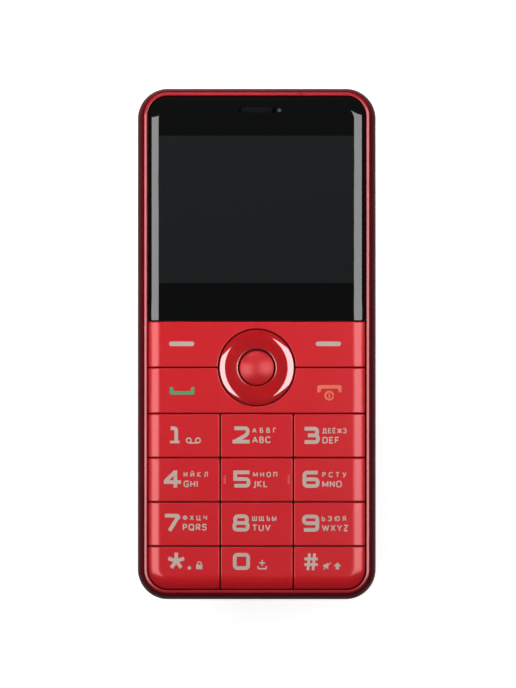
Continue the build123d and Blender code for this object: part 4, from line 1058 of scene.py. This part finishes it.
def rounded_bar(middle, half, corner, low, high, axis, corner_points=8):
    """A cutting shape: a rectangle with rounded corners, carried along an axis between two places."""
    middle, half = np.asarray(middle), np.asarray(half)
    outline = rounded_ring(middle - half, middle + half, corner, 0, corner_points, 1)[:, :2]
    return prism(outline, low, high, axis)


def mouth_tools():
    """The jack's mouth and the charging socket's as cutting shapes."""
    jack = prism(circle(JACK_X, JACK_Z, JACK_MOUTH, 64), HALF_LENGTH - THROUGH, HALF_LENGTH + 1, axis=1)
    reach = (-HALF_LENGTH - 1, -HALF_LENGTH + THROUGH)
    return [jack, rounded_bar((0, SOCKET_Z), SOCKET_MOUTH, SOCKET_CORNER, *reach, axis=1)]


pinhole = circle(MICROPHONE_X, MICROPHONE_Z, MICROPHONE_HOLE, 32)
pinhole_tool = prism(pinhole, -HALF_LENGTH - 1, -HALF_LENGTH + THROUGH, axis=1)
cut_away(front_shell, [*mouth_tools(), pinhole_tool])


# Back cover: a shallow tray moulded in the same plastic as the front housing, and sprayed a duller
# red over a fine spark-eroded grain. It snaps on round the seam, and two notches let a nail in.
COVER_TOP = box_of("back_cover")[1][2]
COVER_WALL, COVER_SKIN = 1.1, 1.0
COVER_EDGE = 4.4
SEAM_ROUNDING = 0.13
NOTCH_Y, NOTCH_LENGTH, NOTCH_DEPTH, NOTCH_HEIGHT = -27.0, 12.0, 0.7, 1.2
CAMERA_X, CAMERA_Y = -1.0, 50.0
WINDOW_SEAT, WINDOW_BORE, WINDOW_DEPTH = 4.25, 3.3, 0.62
FLASH_Y, FLASH_HOLE = 41.5, 1.92
GRILLE_X, GRILLE_Y = 9.0, -48.55
GRILLE_SLOTS, GRILLE_PITCH, GRILLE_LENGTH, GRILLE_WIDTH = 5, 2.0, 10.0, 0.9
cover_lacquer = finish("cover_lacquer", (0.19, 0.008, 0.014), 0.42, grain=0.16, depth=0.006, clouds=0.06,
                       spread=0.14, specular=0.4, coat=0.12, coat_roughness=0.3)
# The outer skin runs from the seam round the edge to the flat back, and the inner one back again
cover_rings = [body_ring(COVER_WALL, COVER_TOP), body_ring(SEAM_ROUNDING, COVER_TOP),
               body_ring(0.03, COVER_TOP - 0.04), body_ring(0, COVER_TOP - SEAM_ROUNDING)]
for angle in turn(0, 90, 18):
    cover_rings.append(body_ring(COVER_EDGE * (1 - np.cos(angle)), COVER_EDGE * (1 - np.sin(angle))))
cover_rings.append(body_ring(COVER_EDGE + 0.6, 0))
inner_edge = COVER_EDGE - COVER_SKIN
inner_rings = [body_ring(COVER_WALL + inner_edge + 0.5, COVER_SKIN)]
for angle in turn(90, 0, 10):
    inset, rise = inner_edge * (1 - np.cos(angle)), inner_edge * np.sin(angle)
    inner_rings.append(body_ring(COVER_WALL + inset, COVER_EDGE - rise))
inner_rings.append(body_ring(COVER_WALL, COVER_TOP))
tray = gathered([tube(cover_rings, first=False), tube(inner_rings, last=False)])
back_cover = make_piece("cover_tray", *tray, "back_cover", "housing_red", cover_lacquer,
                        replaces=["back_cover"])
inside = COVER_SKIN + 0.5
cover_tools = [
    prism(circle(CAMERA_X, CAMERA_Y, WINDOW_SEAT, 96), -1, WINDOW_DEPTH),
    prism(circle(CAMERA_X, CAMERA_Y, WINDOW_BORE, 72), WINDOW_DEPTH - 0.12, inside),
    prism(circle(CAMERA_X, FLASH_Y, FLASH_HOLE, 64), -1, inside),
    *mouth_tools(),
]
for step in range(GRILLE_SLOTS):
    row = GRILLE_Y + (step - (GRILLE_SLOTS - 1) / 2) * GRILLE_PITCH
    cover_tools.append(prism(slot_outline(GRILLE_X, row, GRILLE_LENGTH, GRILLE_WIDTH), -1, inside))
for side in (-1, 1):
    along = np.linspace(-1, 1, 25)
    scoop = np.column_stack([HALF_WIDTH - NOTCH_DEPTH * (1 - along**4), NOTCH_Y + along * NOTCH_LENGTH / 2])
    far = [(HALF_WIDTH + 1, NOTCH_Y + end * NOTCH_LENGTH / 2) for end in (1, -1)]
    cover_tools.append(prism(np.vstack([scoop, far]) * (side, 1), COVER_TOP - NOTCH_HEIGHT, COVER_TOP + 0.5))
cut_away(back_cover, cover_tools)
soft_edges(back_cover, 0.07, 65)


def soft_block(low, high, corner, edge, corner_points=6, side_points=1, steps=4):
    """A slab with rounded corners, whose upper and lower edges roll over by quarter circles."""
    low, high = np.asarray(low, float), np.asarray(high, float)
    roll = [(edge * (1 - np.sin(angle)), low[2] + edge * (1 - np.cos(angle))) for angle in turn(0, 90, steps)]
    roll += [(inset, low[2] + high[2] - height) for inset, height in roll[::-1]]
    rings = []
    for inset, height in [(edge + 0.1, low[2]), *roll, (edge + 0.1, high[2])]:
        ends = (low[:2] + inset, high[:2] - inset)
        rings.append(rounded_ring(*ends, max(corner - inset, 0.02), height, corner_points, side_points))
    return tube(rings)


def dress(nodes, material):
    """Give CAD nodes, whose shapes are right as they are, a material."""
    for name in nodes:
        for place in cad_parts[name].material_slots:
            place.material = material


# Camera window: a disc of hardened glass, glued into its seat in the cover and printed black round
# a clear middle, inside a turned metal ring that takes the knocks.
CAMERA_CLEAR = 2.3
GLASS_TOP, GLASS_LOW = 0.1, 0.6  # the outer face is the lower one, since the phone lies on its back
GLASS_RADIUS = 4.2
RING_HALF, RING_RISE = 0.17, 0.1
trim_steel = finish("trim_steel", (0.62, 0.62, 0.64), 0.22, metallic=1.0, grain=0.5, depth=0.0008, spread=0.2,
                    stretch=(1, 1, 6))


def about_camera(name, profile, body, slot, material, replaces=()):
    """A piece turned about the camera's line."""
    make_piece(name, *turned(profile, 96, (CAMERA_X, CAMERA_Y)), body, slot, material, replaces=replaces)


ring_middle = WINDOW_SEAT - RING_HALF - 0.02
trim = []
for angle in turn(0, 180, 11):
    trim.append((ring_middle + RING_HALF * np.cos(angle), RING_RISE * (1 - np.sin(angle))))
about_camera("camera_trim", trim, "back_cover", "steel", trim_steel)
pane = new_material("camera_pane", base_color=(0.92, 0.95, 0.95, 1), transmission_weight=1.0,
                    roughness=0.02, ior=1.5)[0]
disc = [(0, GLASS_TOP), (GLASS_RADIUS - 0.3, GLASS_TOP), (GLASS_RADIUS - 0.05, GLASS_TOP + 0.03),
        (GLASS_RADIUS, GLASS_TOP + 0.1), (GLASS_RADIUS, GLASS_LOW - 0.05),
        (GLASS_RADIUS - 0.05, GLASS_LOW - 0.03), (0, GLASS_LOW - 0.03)]
about_camera("camera_pane", disc, "back_cover", "window_glass", pane, ["camera_window"])
mask_black = finish("mask_black", (0.008, 0.008, 0.009), 0.35, grain=0.2, depth=0.001, spread=0.1)
mask = [(CAMERA_CLEAR, GLASS_LOW - 0.02), (GLASS_RADIUS, GLASS_LOW - 0.02), (GLASS_RADIUS, GLASS_LOW),
        (CAMERA_CLEAR, GLASS_LOW)]
about_camera("camera_mask", mask, "back_cover", "black_plastic", mask_black)


# Camera module: a black moulded lens barrel with stepped light traps round a coated glass element,
# on a square base that is soldered to the board's rear.
BASE_LOW, BASE_HIGH = box_of("camera_module")
BARREL, BARREL_BASE = 3.0, 4.2
TRAP_START, TRAP_DEPTH, TRAP_STEP = 2.6, 0.09, 0.19
ELEMENT, ELEMENT_HEIGHT, ELEMENT_TURN = 1.25, 0.5, 1.2
barrel_black = finish("barrel_black", (0.012, 0.012, 0.013), 0.38, grain=0.3, depth=0.002,
                      clouds=0.1, spread=0.2)
barrel_front = BASE_LOW[2]
profile = [(BARREL, BARREL_BASE), (BARREL, barrel_front + 0.12), (BARREL - 0.12, barrel_front)]
radius, depth = TRAP_START, barrel_front
while radius > ELEMENT + 0.05:
    profile += [(radius, depth), (radius, depth + TRAP_DEPTH)]
    radius, depth = radius - TRAP_STEP, depth + TRAP_DEPTH
profile += [(radius, depth + 0.2), (0, depth + 0.2)]
barrel = turned(profile, 96, (CAMERA_X, CAMERA_Y))
base = soft_block((*BASE_LOW[:2], BARREL_BASE), BASE_HIGH, 0.5, 0.15)
make_piece("camera_barrel", *gathered([barrel, base]), "root", "black_plastic", barrel_black,
           replaces=["camera_module"])
coated = new_material("coated_element", base_color=(0.012, 0.006, 0.03, 1), roughness=0.03, coat_weight=1.0,
                      coat_tint=(0.55, 0.45, 1.0, 1))[0]
swell = []
for angle in np.linspace(0, ELEMENT_TURN, 14):
    rise = ELEMENT_HEIGHT * (np.cos(angle) - np.cos(ELEMENT_TURN))
    swell.append((ELEMENT * np.sin(angle), depth + 0.18 - rise))
element = turned(swell + [(0, depth + 0.19)], 64, (CAMERA_X, CAMERA_Y))
make_piece("camera_element", *element, "root", "window_glass", coated)


# Flash lens: a stepped plug of clear acrylic, held in the cover, with fine rings moulded in its face
# and a stem that carries the light through. The lamp behind it is a yellow phosphor chip.
PLUG_RADIUS, STEM_RADIUS = 1.9, 1.4
FLASH_LOW, FLASH_HIGH = box_of("flash_lens")
FACE_RINGS, RING_DEPTH = 6, 0.07
plug_clear = new_material("flash_acrylic", base_color=(0.95, 0.94, 0.88, 1), transmission_weight=0.85,
                          roughness=0.08, ior=1.49)[0]
face_z = FLASH_LOW[2]
step_width = (PLUG_RADIUS - 0.15) / FACE_RINGS
plug = [(0, face_z)]
for step in range(FACE_RINGS):
    plug += [((step + 0.85) * step_width, face_z + RING_DEPTH), ((step + 1) * step_width, face_z)]
plug += [(PLUG_RADIUS - 0.05, face_z), (PLUG_RADIUS, face_z + 0.05), (PLUG_RADIUS, COVER_SKIN),
         (STEM_RADIUS, COVER_SKIN), (STEM_RADIUS, FLASH_HIGH[2]), (0, FLASH_HIGH[2])]
make_piece("flash_plug", *turned(plug, 64, (CAMERA_X, FLASH_Y)), "back_cover", "clear_plastic", plug_clear,
           replaces=["flash_lens"])
phosphor = finish("phosphor", (0.80, 0.62, 0.08), 0.55, grain=0.1, depth=0.004, clouds=0.1, spread=0.1)
dress(["flash_led"], phosphor)


# Speaker mesh: woven steel wire, glued inside the cover over the grille's slots so that grit stays out.
# Behind it lie the foam gasket and the loudspeaker, whose film swells inside a rolled surround.
WEAVE_LOW, WEAVE_HIGH = box_of("speaker_mesh")
grille_wire = finish("grille_wire", (0.10, 0.10, 0.105), 0.4, metallic=0.9, grain=0.05, depth=0.003,
                     spread=0.2)
weave = woven(WEAVE_LOW, WEAVE_HIGH, (WEAVE_LOW[2] + WEAVE_HIGH[2]) / 2, pitch=0.3, radius=0.024)
make_piece("speaker_weave", *weave, "back_cover", "steel", grille_wire, replaces=["speaker_mesh"])
foam = finish("gasket_foam", (0.016, 0.016, 0.017), 0.95, grain=0.12, depth=0.05, clouds=0.2, specular=0.2)
dress(["speaker_gasket", "earpiece_gasket"], foam)
SPEAKER_LOW, SPEAKER_HIGH = box_of("loudspeaker")
SURROUND = np.array((13.4, 9.4))
ROLL_WIDTH, ROLL_HEIGHT = 1.3, 0.4
DOME_WIDTH, DOME_HEIGHT = 5.8, 0.28
FILM_DEPTH = 0.5
speaker_middle = (SPEAKER_LOW + SPEAKER_HIGH)[:2] / 2
speaker_plastic = finish("speaker_plastic", (0.02, 0.02, 0.022), 0.5, grain=0.15, depth=0.004,
                         clouds=0.1, spread=0.2)
frame_block = make_piece("speaker_frame", *soft_block(SPEAKER_LOW, SPEAKER_HIGH, 1.4, 0.25), "root",
                         "black_plastic", speaker_plastic, replaces=["loudspeaker"])
opening = slot_outline(*speaker_middle, *SURROUND, 24)
cut_away(frame_block, [prism(opening, SPEAKER_LOW[2] - 1, SPEAKER_LOW[2] + 0.9)])
film = finish("speaker_film", (0.045, 0.04, 0.03), 0.25, grain=1.2, depth=0.01, clouds=0.15, specular=0.6)
# The film rises as one half wave over the surround, and as another over the dome within it
film_rings = []
for inset in np.linspace(0.02, 4.2, 36):
    if inset < ROLL_WIDTH:
        swell = ROLL_HEIGHT * np.sin(np.pi * inset / ROLL_WIDTH)
    else:
        swell = DOME_HEIGHT * np.sin(np.pi * (inset - ROLL_WIDTH) / DOME_WIDTH)
    outline = slot_outline(*speaker_middle, *(SURROUND - 2 * inset), 24)
    film_rings.append(at_height(outline, SPEAKER_LOW[2] + FILM_DEPTH - swell))
make_piece("speaker_film", *tube(film_rings, first=False), "root", "film_clear", film)


# Battery: a flat lithium pouch cell between two moulded end caps, wrapped in grey film, with a plain
# pale panel where a label sits, and signs beside the gilt pads for the two poles.
CELL_LOW, CELL_HIGH = box_of("battery")
PADS_LOW, PADS_HIGH = box_of("battery_pads")
END_CAP, FOOT_CAP = 1.9, 1.2
PANEL_MARGIN = 2.4
PAD_WIDTH, PAD_PITCH, PAD_ROOM = 1.8, 3.0, 0.06
SIGN_X, SIGN_HALF, SIGN_STROKE = 4.2, 1.1, 0.22
CAP_STEP, CAP_JOINT = 0.05, 0.08  # the caps stand back from the cell's box, and a fine gap parts them from it
wrap_grey = finish("wrap_grey", (0.19, 0.20, 0.21), 0.38, grain=3.0, depth=0.012, clouds=0.05,
                   spread=0.2, coat=0.3)
cap_black = finish("cap_black", (0.018, 0.018, 0.02), 0.48, grain=0.15, depth=0.006, clouds=0.1, spread=0.15)
panel_white = finish("panel_white", (0.66, 0.67, 0.67), 0.5, grain=2.0, depth=0.006, clouds=0.03, spread=0.1)
sign_dark = finish("sign_dark", (0.04, 0.04, 0.045), 0.5, grain=0.3, depth=0.001, clouds=0.05)


def cell_block(low_inset, high_inset, *edges):
    """A slab inside the battery's box, drawn in by three insets at each end."""
    return soft_block(CELL_LOW + low_inset, CELL_HIGH - high_inset, *edges)


cell = cell_block((0, FOOT_CAP, 0.04), (0, END_CAP, 0), 0.5, 1.1, 5, 12, 8)
make_piece("battery_cell", *cell, "battery", "battery_wrap", wrap_grey, replaces=["battery"])
head_low = CELL_HIGH[1] - CELL_LOW[1] - END_CAP + CAP_JOINT
head = cell_block((CAP_STEP, head_low, 2 * CAP_STEP), (CAP_STEP, 0, CAP_STEP), 0.6, 0.5)
head_piece = make_piece("battery_head", *head, "battery", "black_plastic", cap_black)
pad_middle = (PADS_LOW[2] + PADS_HIGH[2]) / 2
pad_half = (PAD_WIDTH / 2 + PAD_ROOM, (PADS_HIGH[2] - PADS_LOW[2]) / 2 + PAD_ROOM)
recess = (CELL_HIGH[1] - 0.12, CELL_HIGH[1] + 1)
cut_away(head_piece, [rounded_bar((x, pad_middle), pad_half, 0.25, *recess, axis=1, corner_points=5)
                      for x in (-PAD_PITCH, 0, PAD_PITCH)])
foot_high = CELL_HIGH[1] - CELL_LOW[1] - FOOT_CAP + CAP_JOINT
foot = cell_block((CAP_STEP, 0, 2 * CAP_STEP), (CAP_STEP, foot_high, CAP_STEP), 0.5, 0.4)
make_piece("battery_foot", *foot, "battery", "black_plastic", cap_black)
panel_high = CELL_HIGH - (PANEL_MARGIN, END_CAP + 2 * PANEL_MARGIN, 0)
panel_high[2] = CELL_LOW[2] + 0.045
panel = soft_block(CELL_LOW + (PANEL_MARGIN, FOOT_CAP + PANEL_MARGIN, 0), panel_high, 1.2, 0.02)
make_piece("battery_panel", *panel, "battery", "frame_white", panel_white)
signs = []
sign_y = CELL_HIGH[1] - END_CAP - PANEL_MARGIN
for x, half_x, half_y in (
    (-SIGN_X, SIGN_HALF, SIGN_STROKE), (-SIGN_X, SIGN_STROKE, SIGN_HALF), (SIGN_X, SIGN_HALF, SIGN_STROKE)
):
    signs.append(soft_block((x - half_x, sign_y - half_y, CELL_LOW[2] + 0.01),
                            (x + half_x, sign_y + half_y, CELL_LOW[2] + 0.05), 0.08, 0.01))
make_piece("battery_signs", *gathered(signs), "battery", "black_plastic", sign_dark)
gilt = finish("contact_gilt", (0.78, 0.52, 0.20), 0.24, metallic=1.0, grain=0.4, depth=0.002,
              clouds=0.06, spread=0.3)
dress(["battery_pads", "battery_springs"], gilt)


# Rear housing: glass-filled black plastic with a spark-eroded face. It holds the battery bay, the
# speaker's chamber and the aerial's raised seat, and clamps the board with six screws.
rear_plastic = finish("rear_plastic", (0.022, 0.022, 0.024), 0.62, grain=0.22, depth=0.012, clouds=0.12,
                      spread=0.12, wear=(0.05, 0.05, 0.052))
dress(["rear_housing"], rear_plastic)


# Housing screws: zinc-plated steel with low rounded heads and a six-lobed drive, turned down on the
# plate until each clamps both housings.
SCREWS_LOW, SCREWS_HIGH = box_of("housing_screws")
HEAD_RADIUS, SHANK_RADIUS = 1.3, 0.7
HEAD_HEIGHT, HEAD_INSET, HEAD_DROP = 0.8, 0.39, 0.45
MIDDLE_SCREW = 7.5
DRIVE, LOBE_SHARE = 0.62, 0.16
screw_places = [(side * (SCREWS_HIGH[0] - HEAD_RADIUS), y) for side in (-1, 1)
                for y in (SCREWS_LOW[1] + HEAD_RADIUS, MIDDLE_SCREW, SCREWS_HIGH[1] - HEAD_RADIUS)]
zinc = finish("zinc_plate", (0.42, 0.42, 0.43), 0.34, metallic=1.0, grain=0.2, depth=0.002,
              clouds=0.08, spread=0.25)
top, tip = SCREWS_LOW[2], SCREWS_HIGH[2]
profile = [(0, top), (HEAD_RADIUS * 0.7, top)]
for angle in turn(15, 90, 6):
    inward, down = HEAD_INSET * (1 - np.sin(angle)), HEAD_DROP * (1 - np.cos(angle))
    profile.append((HEAD_RADIUS - inward, top + down))
profile += [(HEAD_RADIUS, top + HEAD_HEIGHT), (SHANK_RADIUS, top + HEAD_HEIGHT), (SHANK_RADIUS, tip - 0.2),
            (SHANK_RADIUS - 0.2, tip), (0, tip)]
screws = make_piece("screw_heads", *gathered([turned(profile, 48, place) for place in screw_places]), "root",
                    "steel", zinc, replaces=["housing_screws"])
lobe = np.linspace(0, 2 * np.pi, 49)[:-1, None]
drive = DRIVE * (1 + LOBE_SHARE * np.cos(6 * lobe)) * np.hstack([np.cos(lobe), np.sin(lobe)])
cut_away(screws, [prism(drive + place, top - 1, top + 0.5) for place in screw_places])


# Main board: a glass-fibre panel under green solder mask, whose copper runs show through as slightly
# lighter lines. Its shield cans are folded tinplate lids with rows of vent holes.
def board_mask():
    """Green lacquer over copper: thin lines follow the edges of cells, and the mask dips between them."""
    material, tree, shader = new_material("board_mask", roughness=0.3)
    cells = add_node(tree, "TexBrick", {
        "Vector": add_node(tree, "TexCoord").outputs["Object"], "Scale": 1 / (3.2 * MM), "Mortar Size": 0.03,
        "Mortar Smooth": 0.3, "Brick Width": 0.9, "Row Height": 0.33, "Color1": (0.008, 0.085, 0.035, 1),
        "Color2": (0.010, 0.070, 0.030, 1), "Mortar": (0.022, 0.15, 0.06, 1),
    })
    dips = relief(tree, cells.outputs["Fac"], 0.01, 1.0)
    set_inputs(tree, shader, {"Base Color": cells.outputs["Color"], "Normal": dips})
    return material


dress(["main_board"], board_mask())
tinplate = finish("tinplate", (0.55, 0.55, 0.56), 0.32, metallic=1.0, grain=0.8, depth=0.004,
                  clouds=0.06, spread=0.3)
VENT, VENT_PITCH, VENT_DEPTH = 0.45, 2.6, 0.35
for node in ("rf_shield_can", "processor_shield_can"):
    low, high = box_of(node)
    lid = soft_block(low, high, 0.7, 0.3)
    lid = make_piece(node + "_lid", *lid, "root", "steel", tinplate, replaces=[node])
    vents = []
    for x in np.arange(low[0] + 2, high[0] - 1.5, VENT_PITCH):
        for y in np.arange(low[1] + 2, high[1] - 1.5, VENT_PITCH):
            outline = circle(x, y, VENT, 16)
            vents.append(tube([at_height(outline, height) for height in (low[2] - 0.5, low[2] + VENT_DEPTH)]))
    cut_away(lid, [make_piece("tool", *gathered(vents), None, None, None)])


# Card sockets: two for SIM cards and one for a memory card. Each is a stamped steel shell over a
# black moulded base, with gilt spring leaves in the shell's window.
SHEET = 0.18
SHELL_DEPTH, BASE_TOP = 0.8, 0.7
WINDOW_FRAME = (2.2, 2.4)
LEAF_HALF, LEAF_REACH, LEAF_THICKNESS, LEAF_RISE = 0.4, 1.1, 0.06, 0.25
leaf_gilt = finish("leaf_gilt", (0.80, 0.56, 0.24), 0.26, metallic=1.0, grain=0.3, depth=0.002,
                   clouds=0.05, spread=0.3)


def card_socket(name, low, high, columns, rows, replaced=()):
    """A shell with a window, its base, and a grid of leaves that rise towards the card."""
    middle, half = (low + high)[:2] / 2, (high - low)[:2] / 2
    window = half - WINDOW_FRAME
    shell = soft_block(low, (*high[:2], low[2] + SHELL_DEPTH), 0.5, 0.12)
    shell = make_piece(name + "_shell", *shell, "root", "steel", tinplate, replaces=replaced)
    cut_away(shell, [rounded_bar(middle, window, 0.8, low[2] - 1, low[2] + 0.5, 2, 6),
                     rounded_bar(middle, half - SHEET, 0.3, low[2] + SHEET, low[2] + 2, 2, 4)])
    base = soft_block(low + (0.25, 0.25, BASE_TOP), high - (0.25, 0.25, 0), 0.4, 0.05)
    make_piece(name + "_base", *base, "root", "black_plastic", cap_black)
    leaves = []
    along = np.linspace(-1, 1, 9)
    for x in middle[0] + np.linspace(-1, 1, columns) * (window[0] - 1.2):
        for y in middle[1] + np.linspace(-1, 1, rows) * (window[1] - 1.4):
            edges = []
            for side, lift in ((-1, 0), (1, 0), (1, LEAF_THICKNESS), (-1, LEAF_THICKNESS)):
                flat = np.column_stack([np.full(9, x + side * LEAF_HALF), y + along * LEAF_REACH])
                edges.append(at_height(flat, low[2] + 0.45 + LEAF_RISE * along**2 + lift))
            leaves.append(tube(np.stack(edges, 1)))
    make_piece(name + "_leaves", *gathered(leaves), "root", "gilt", leaf_gilt)


SIM_LOW, SIM_HIGH = box_of("sim_sockets")
SIM_WIDTH = 15.0
card_socket("sim_left", SIM_LOW, np.array((SIM_LOW[0] + SIM_WIDTH, *SIM_HIGH[1:])), 3, 2, ["sim_sockets"])
card_socket("sim_right", np.array((SIM_HIGH[0] - SIM_WIDTH, *SIM_LOW[1:])), SIM_HIGH, 3, 2)
card_socket("memory_card", *box_of("memory_card_socket"), 4, 2, ["memory_card_socket"])


# Charging socket: a drawn steel shell with a flared lip, soldered to the board, round a black tongue
# that carries five gilt strips. Its mouth stands a little inside the phone's end.
PORT_WALL, PORT_CORNER = 0.3, 0.6
TONGUE_LENGTH, TONGUE_HALF, TONGUE_HALF_THICKNESS = 3.4, 1.8, 0.3
STRIP_PITCH, STRIP_HALF = 0.65, 0.17


def end_ring(inset, y):
    """The socket's outline in its end plane, drawn in by an inset."""
    ring = rounded_ring(PORT_LOW[[0, 2]] + inset, PORT_HIGH[[0, 2]] - inset, PORT_CORNER - inset, y, 8, 2)
    return ring[:, [0, 2, 1]]


face, rear = PORT_LOW[1], PORT_HIGH[1]
port_profile = [(0, rear), (0, face + 0.12), (0.05, face + 0.03), (0.12, face), (0.22, face + 0.04),
                (PORT_WALL, face + 0.16), (PORT_WALL, rear - PORT_WALL)]
shell_steel = finish("shell_steel", (0.50, 0.50, 0.51), 0.28, metallic=1.0, grain=0.5, depth=0.002,
                     clouds=0.05, spread=0.3)
port = tube([end_ring(inset, y) for inset, y in port_profile])
make_piece("socket_shell", *port, "root", "steel", shell_steel, replaces=["charging_socket"])
root, tip = rear - PORT_WALL, rear - PORT_WALL - TONGUE_LENGTH
low, high = SOCKET_Z - TONGUE_HALF_THICKNESS, SOCKET_Z + TONGUE_HALF_THICKNESS
tongue = soft_block((-TONGUE_HALF, tip, low), (TONGUE_HALF, root, high), 0.15, 0.1)
make_piece("socket_tongue", *tongue, "root", "black_plastic", cap_black)
strips = []
for x in np.arange(-2, 3) * STRIP_PITCH:
    ends = (x - STRIP_HALF, tip + 0.3, low - 0.05), (x + STRIP_HALF, root, low + 0.02)
    strips.append(soft_block(*ends, 0.04, 0.02))
make_piece("socket_strips", *gathered(strips), "root", "gilt", leaf_gilt)


# Headphone jack: a black moulded body, soldered to the board, whose bore ends in a bright turned
# collar inside the phone's end wall.
COLLAR_OUT, COLLAR_IN = 2.18, 1.8
COLLAR_LENGTH, COLLAR_CHAMFER = 0.93, 0.04
jack_face = SEAT_JACK[1][1]
edge = COLLAR_LENGTH - 2 * COLLAR_CHAMFER
collar = [(COLLAR_IN, 0.0), (COLLAR_IN, edge), (COLLAR_IN + COLLAR_CHAMFER, COLLAR_LENGTH),
          (COLLAR_OUT - COLLAR_CHAMFER, COLLAR_LENGTH), (COLLAR_OUT, edge), (COLLAR_OUT, 0.0)]
points, faces = turned(collar, 64)
points = points[:, [0, 2, 1]] + (JACK_X, jack_face, JACK_Z)
make_piece("jack_collar", points, faces, "root", "steel", trim_steel)
dress(["headphone_jack", "battery_connector"], cap_black)


# Vibration motor: a drawn steel can with a groove rolled round it and an end turned in about the
# bearing, beside its half-round tungsten weight. It lies in the rear housing's cradle.
MOTOR_LOW, MOTOR_HIGH = box_of("vibration_motor")
motor_radius = (MOTOR_HIGH[2] - MOTOR_LOW[2]) / 2
motor_middle = (MOTOR_LOW + MOTOR_HIGH) / 2
start, end = MOTOR_LOW[0], MOTOR_HIGH[0]
groove, bearing = motor_radius - 0.07, 0.5
can = [
    (0, start), (motor_radius - 0.35, start), (motor_radius - 0.1, start + 0.08), (motor_radius, start + 0.3),
    (motor_radius, end - 0.9), (groove, end - 0.85), (groove, end - 0.7), (motor_radius, end - 0.65),
    (motor_radius, end - 0.2), (motor_radius - 0.15, end - 0.02), (motor_radius - 0.4, end - 0.02),
    (motor_radius - 0.45, end - 0.1), (0.95, end - 0.1), (0.9, end - 0.03), (bearing, end - 0.03),
    (bearing, end - 0.6), (0, end - 0.6),
]
points, faces = turned(can, 72)
points = points[:, [2, 0, 1]] + (0, *motor_middle[1:])
make_piece("motor_can", points, faces, "root", "steel", shell_steel, replaces=["vibration_motor"])
tungsten = finish("tungsten", (0.23, 0.225, 0.22), 0.42, metallic=1.0, grain=0.12, depth=0.006,
                  clouds=0.12, spread=0.2)
dress(["vibration_weight"], tungsten)


# What else lies inside: the aerial's stamped plate and its clips, the microphone in its rubber boot,
# the display's glass, frame and flex, the key mat with its domes and lamps, and the earpiece.
antenna_metal = finish("antenna_metal", (0.72, 0.50, 0.24), 0.3, metallic=1.0, grain=0.6, depth=0.003,
                       clouds=0.08, spread=0.3)
boot_rubber = finish("boot_rubber", (0.014, 0.014, 0.014), 0.8, grain=0.2, depth=0.01, clouds=0.15,
                     specular=0.3)
# The key mat is coloured near-black red so that the gaps between the caps show dark: painted shade between
# the caps
mat_silicone_gap_shade = finish("mat_silicone_gap_shade", (0.020, 0.005, 0.006), 0.55, grain=0.4, depth=0.006, clouds=0.05,
                      spread=0.1)
dome_steel = finish("dome_steel", (0.60, 0.60, 0.61), 0.25, metallic=1.0, grain=0.3, depth=0.001, clouds=0.05,
                    spread=0.2)
frame_plastic = finish("frame_plastic", (0.70, 0.70, 0.69), 0.45, grain=0.4, depth=0.003, clouds=0.03)
dress(["antenna_plate", "antenna_clips"], antenna_metal)
dress(["microphone_boot"], boot_rubber)
dress(["keypad_mat"], mat_silicone_gap_shade)
dress(["metal_domes"], dome_steel)
dress(["backlight_frame", "board_lights"], frame_plastic)
dress(["microphone", "lens_adhesive", "earpiece_speaker", "nav_ring_carrier"], cap_black)
for node, name, colour, roughness, grain, depth, clouds in (
    ("dome_sheet", "sheet_film", (0.70, 0.70, 0.68), 0.4, 1.0, 0.004, 0.03),
    ("display_panel", "panel_glass", (0.010, 0.012, 0.013), 0.08, 8.0, 0.001, 0.05),
    ("display_flex", "flex_film", (0.45, 0.20, 0.03), 0.35, 0.8, 0.004, 0.1),
    ("indicator_light_pipe", "pipe_smoke", (0.05, 0.052, 0.055), 0.15, 1.0, 0.001, 0.05),
):
    dress([node], finish(name, colour, roughness, grain=grain, depth=depth, clouds=clouds))


ends = [[list(end) for end in cad_box], [list(end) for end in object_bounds()]]
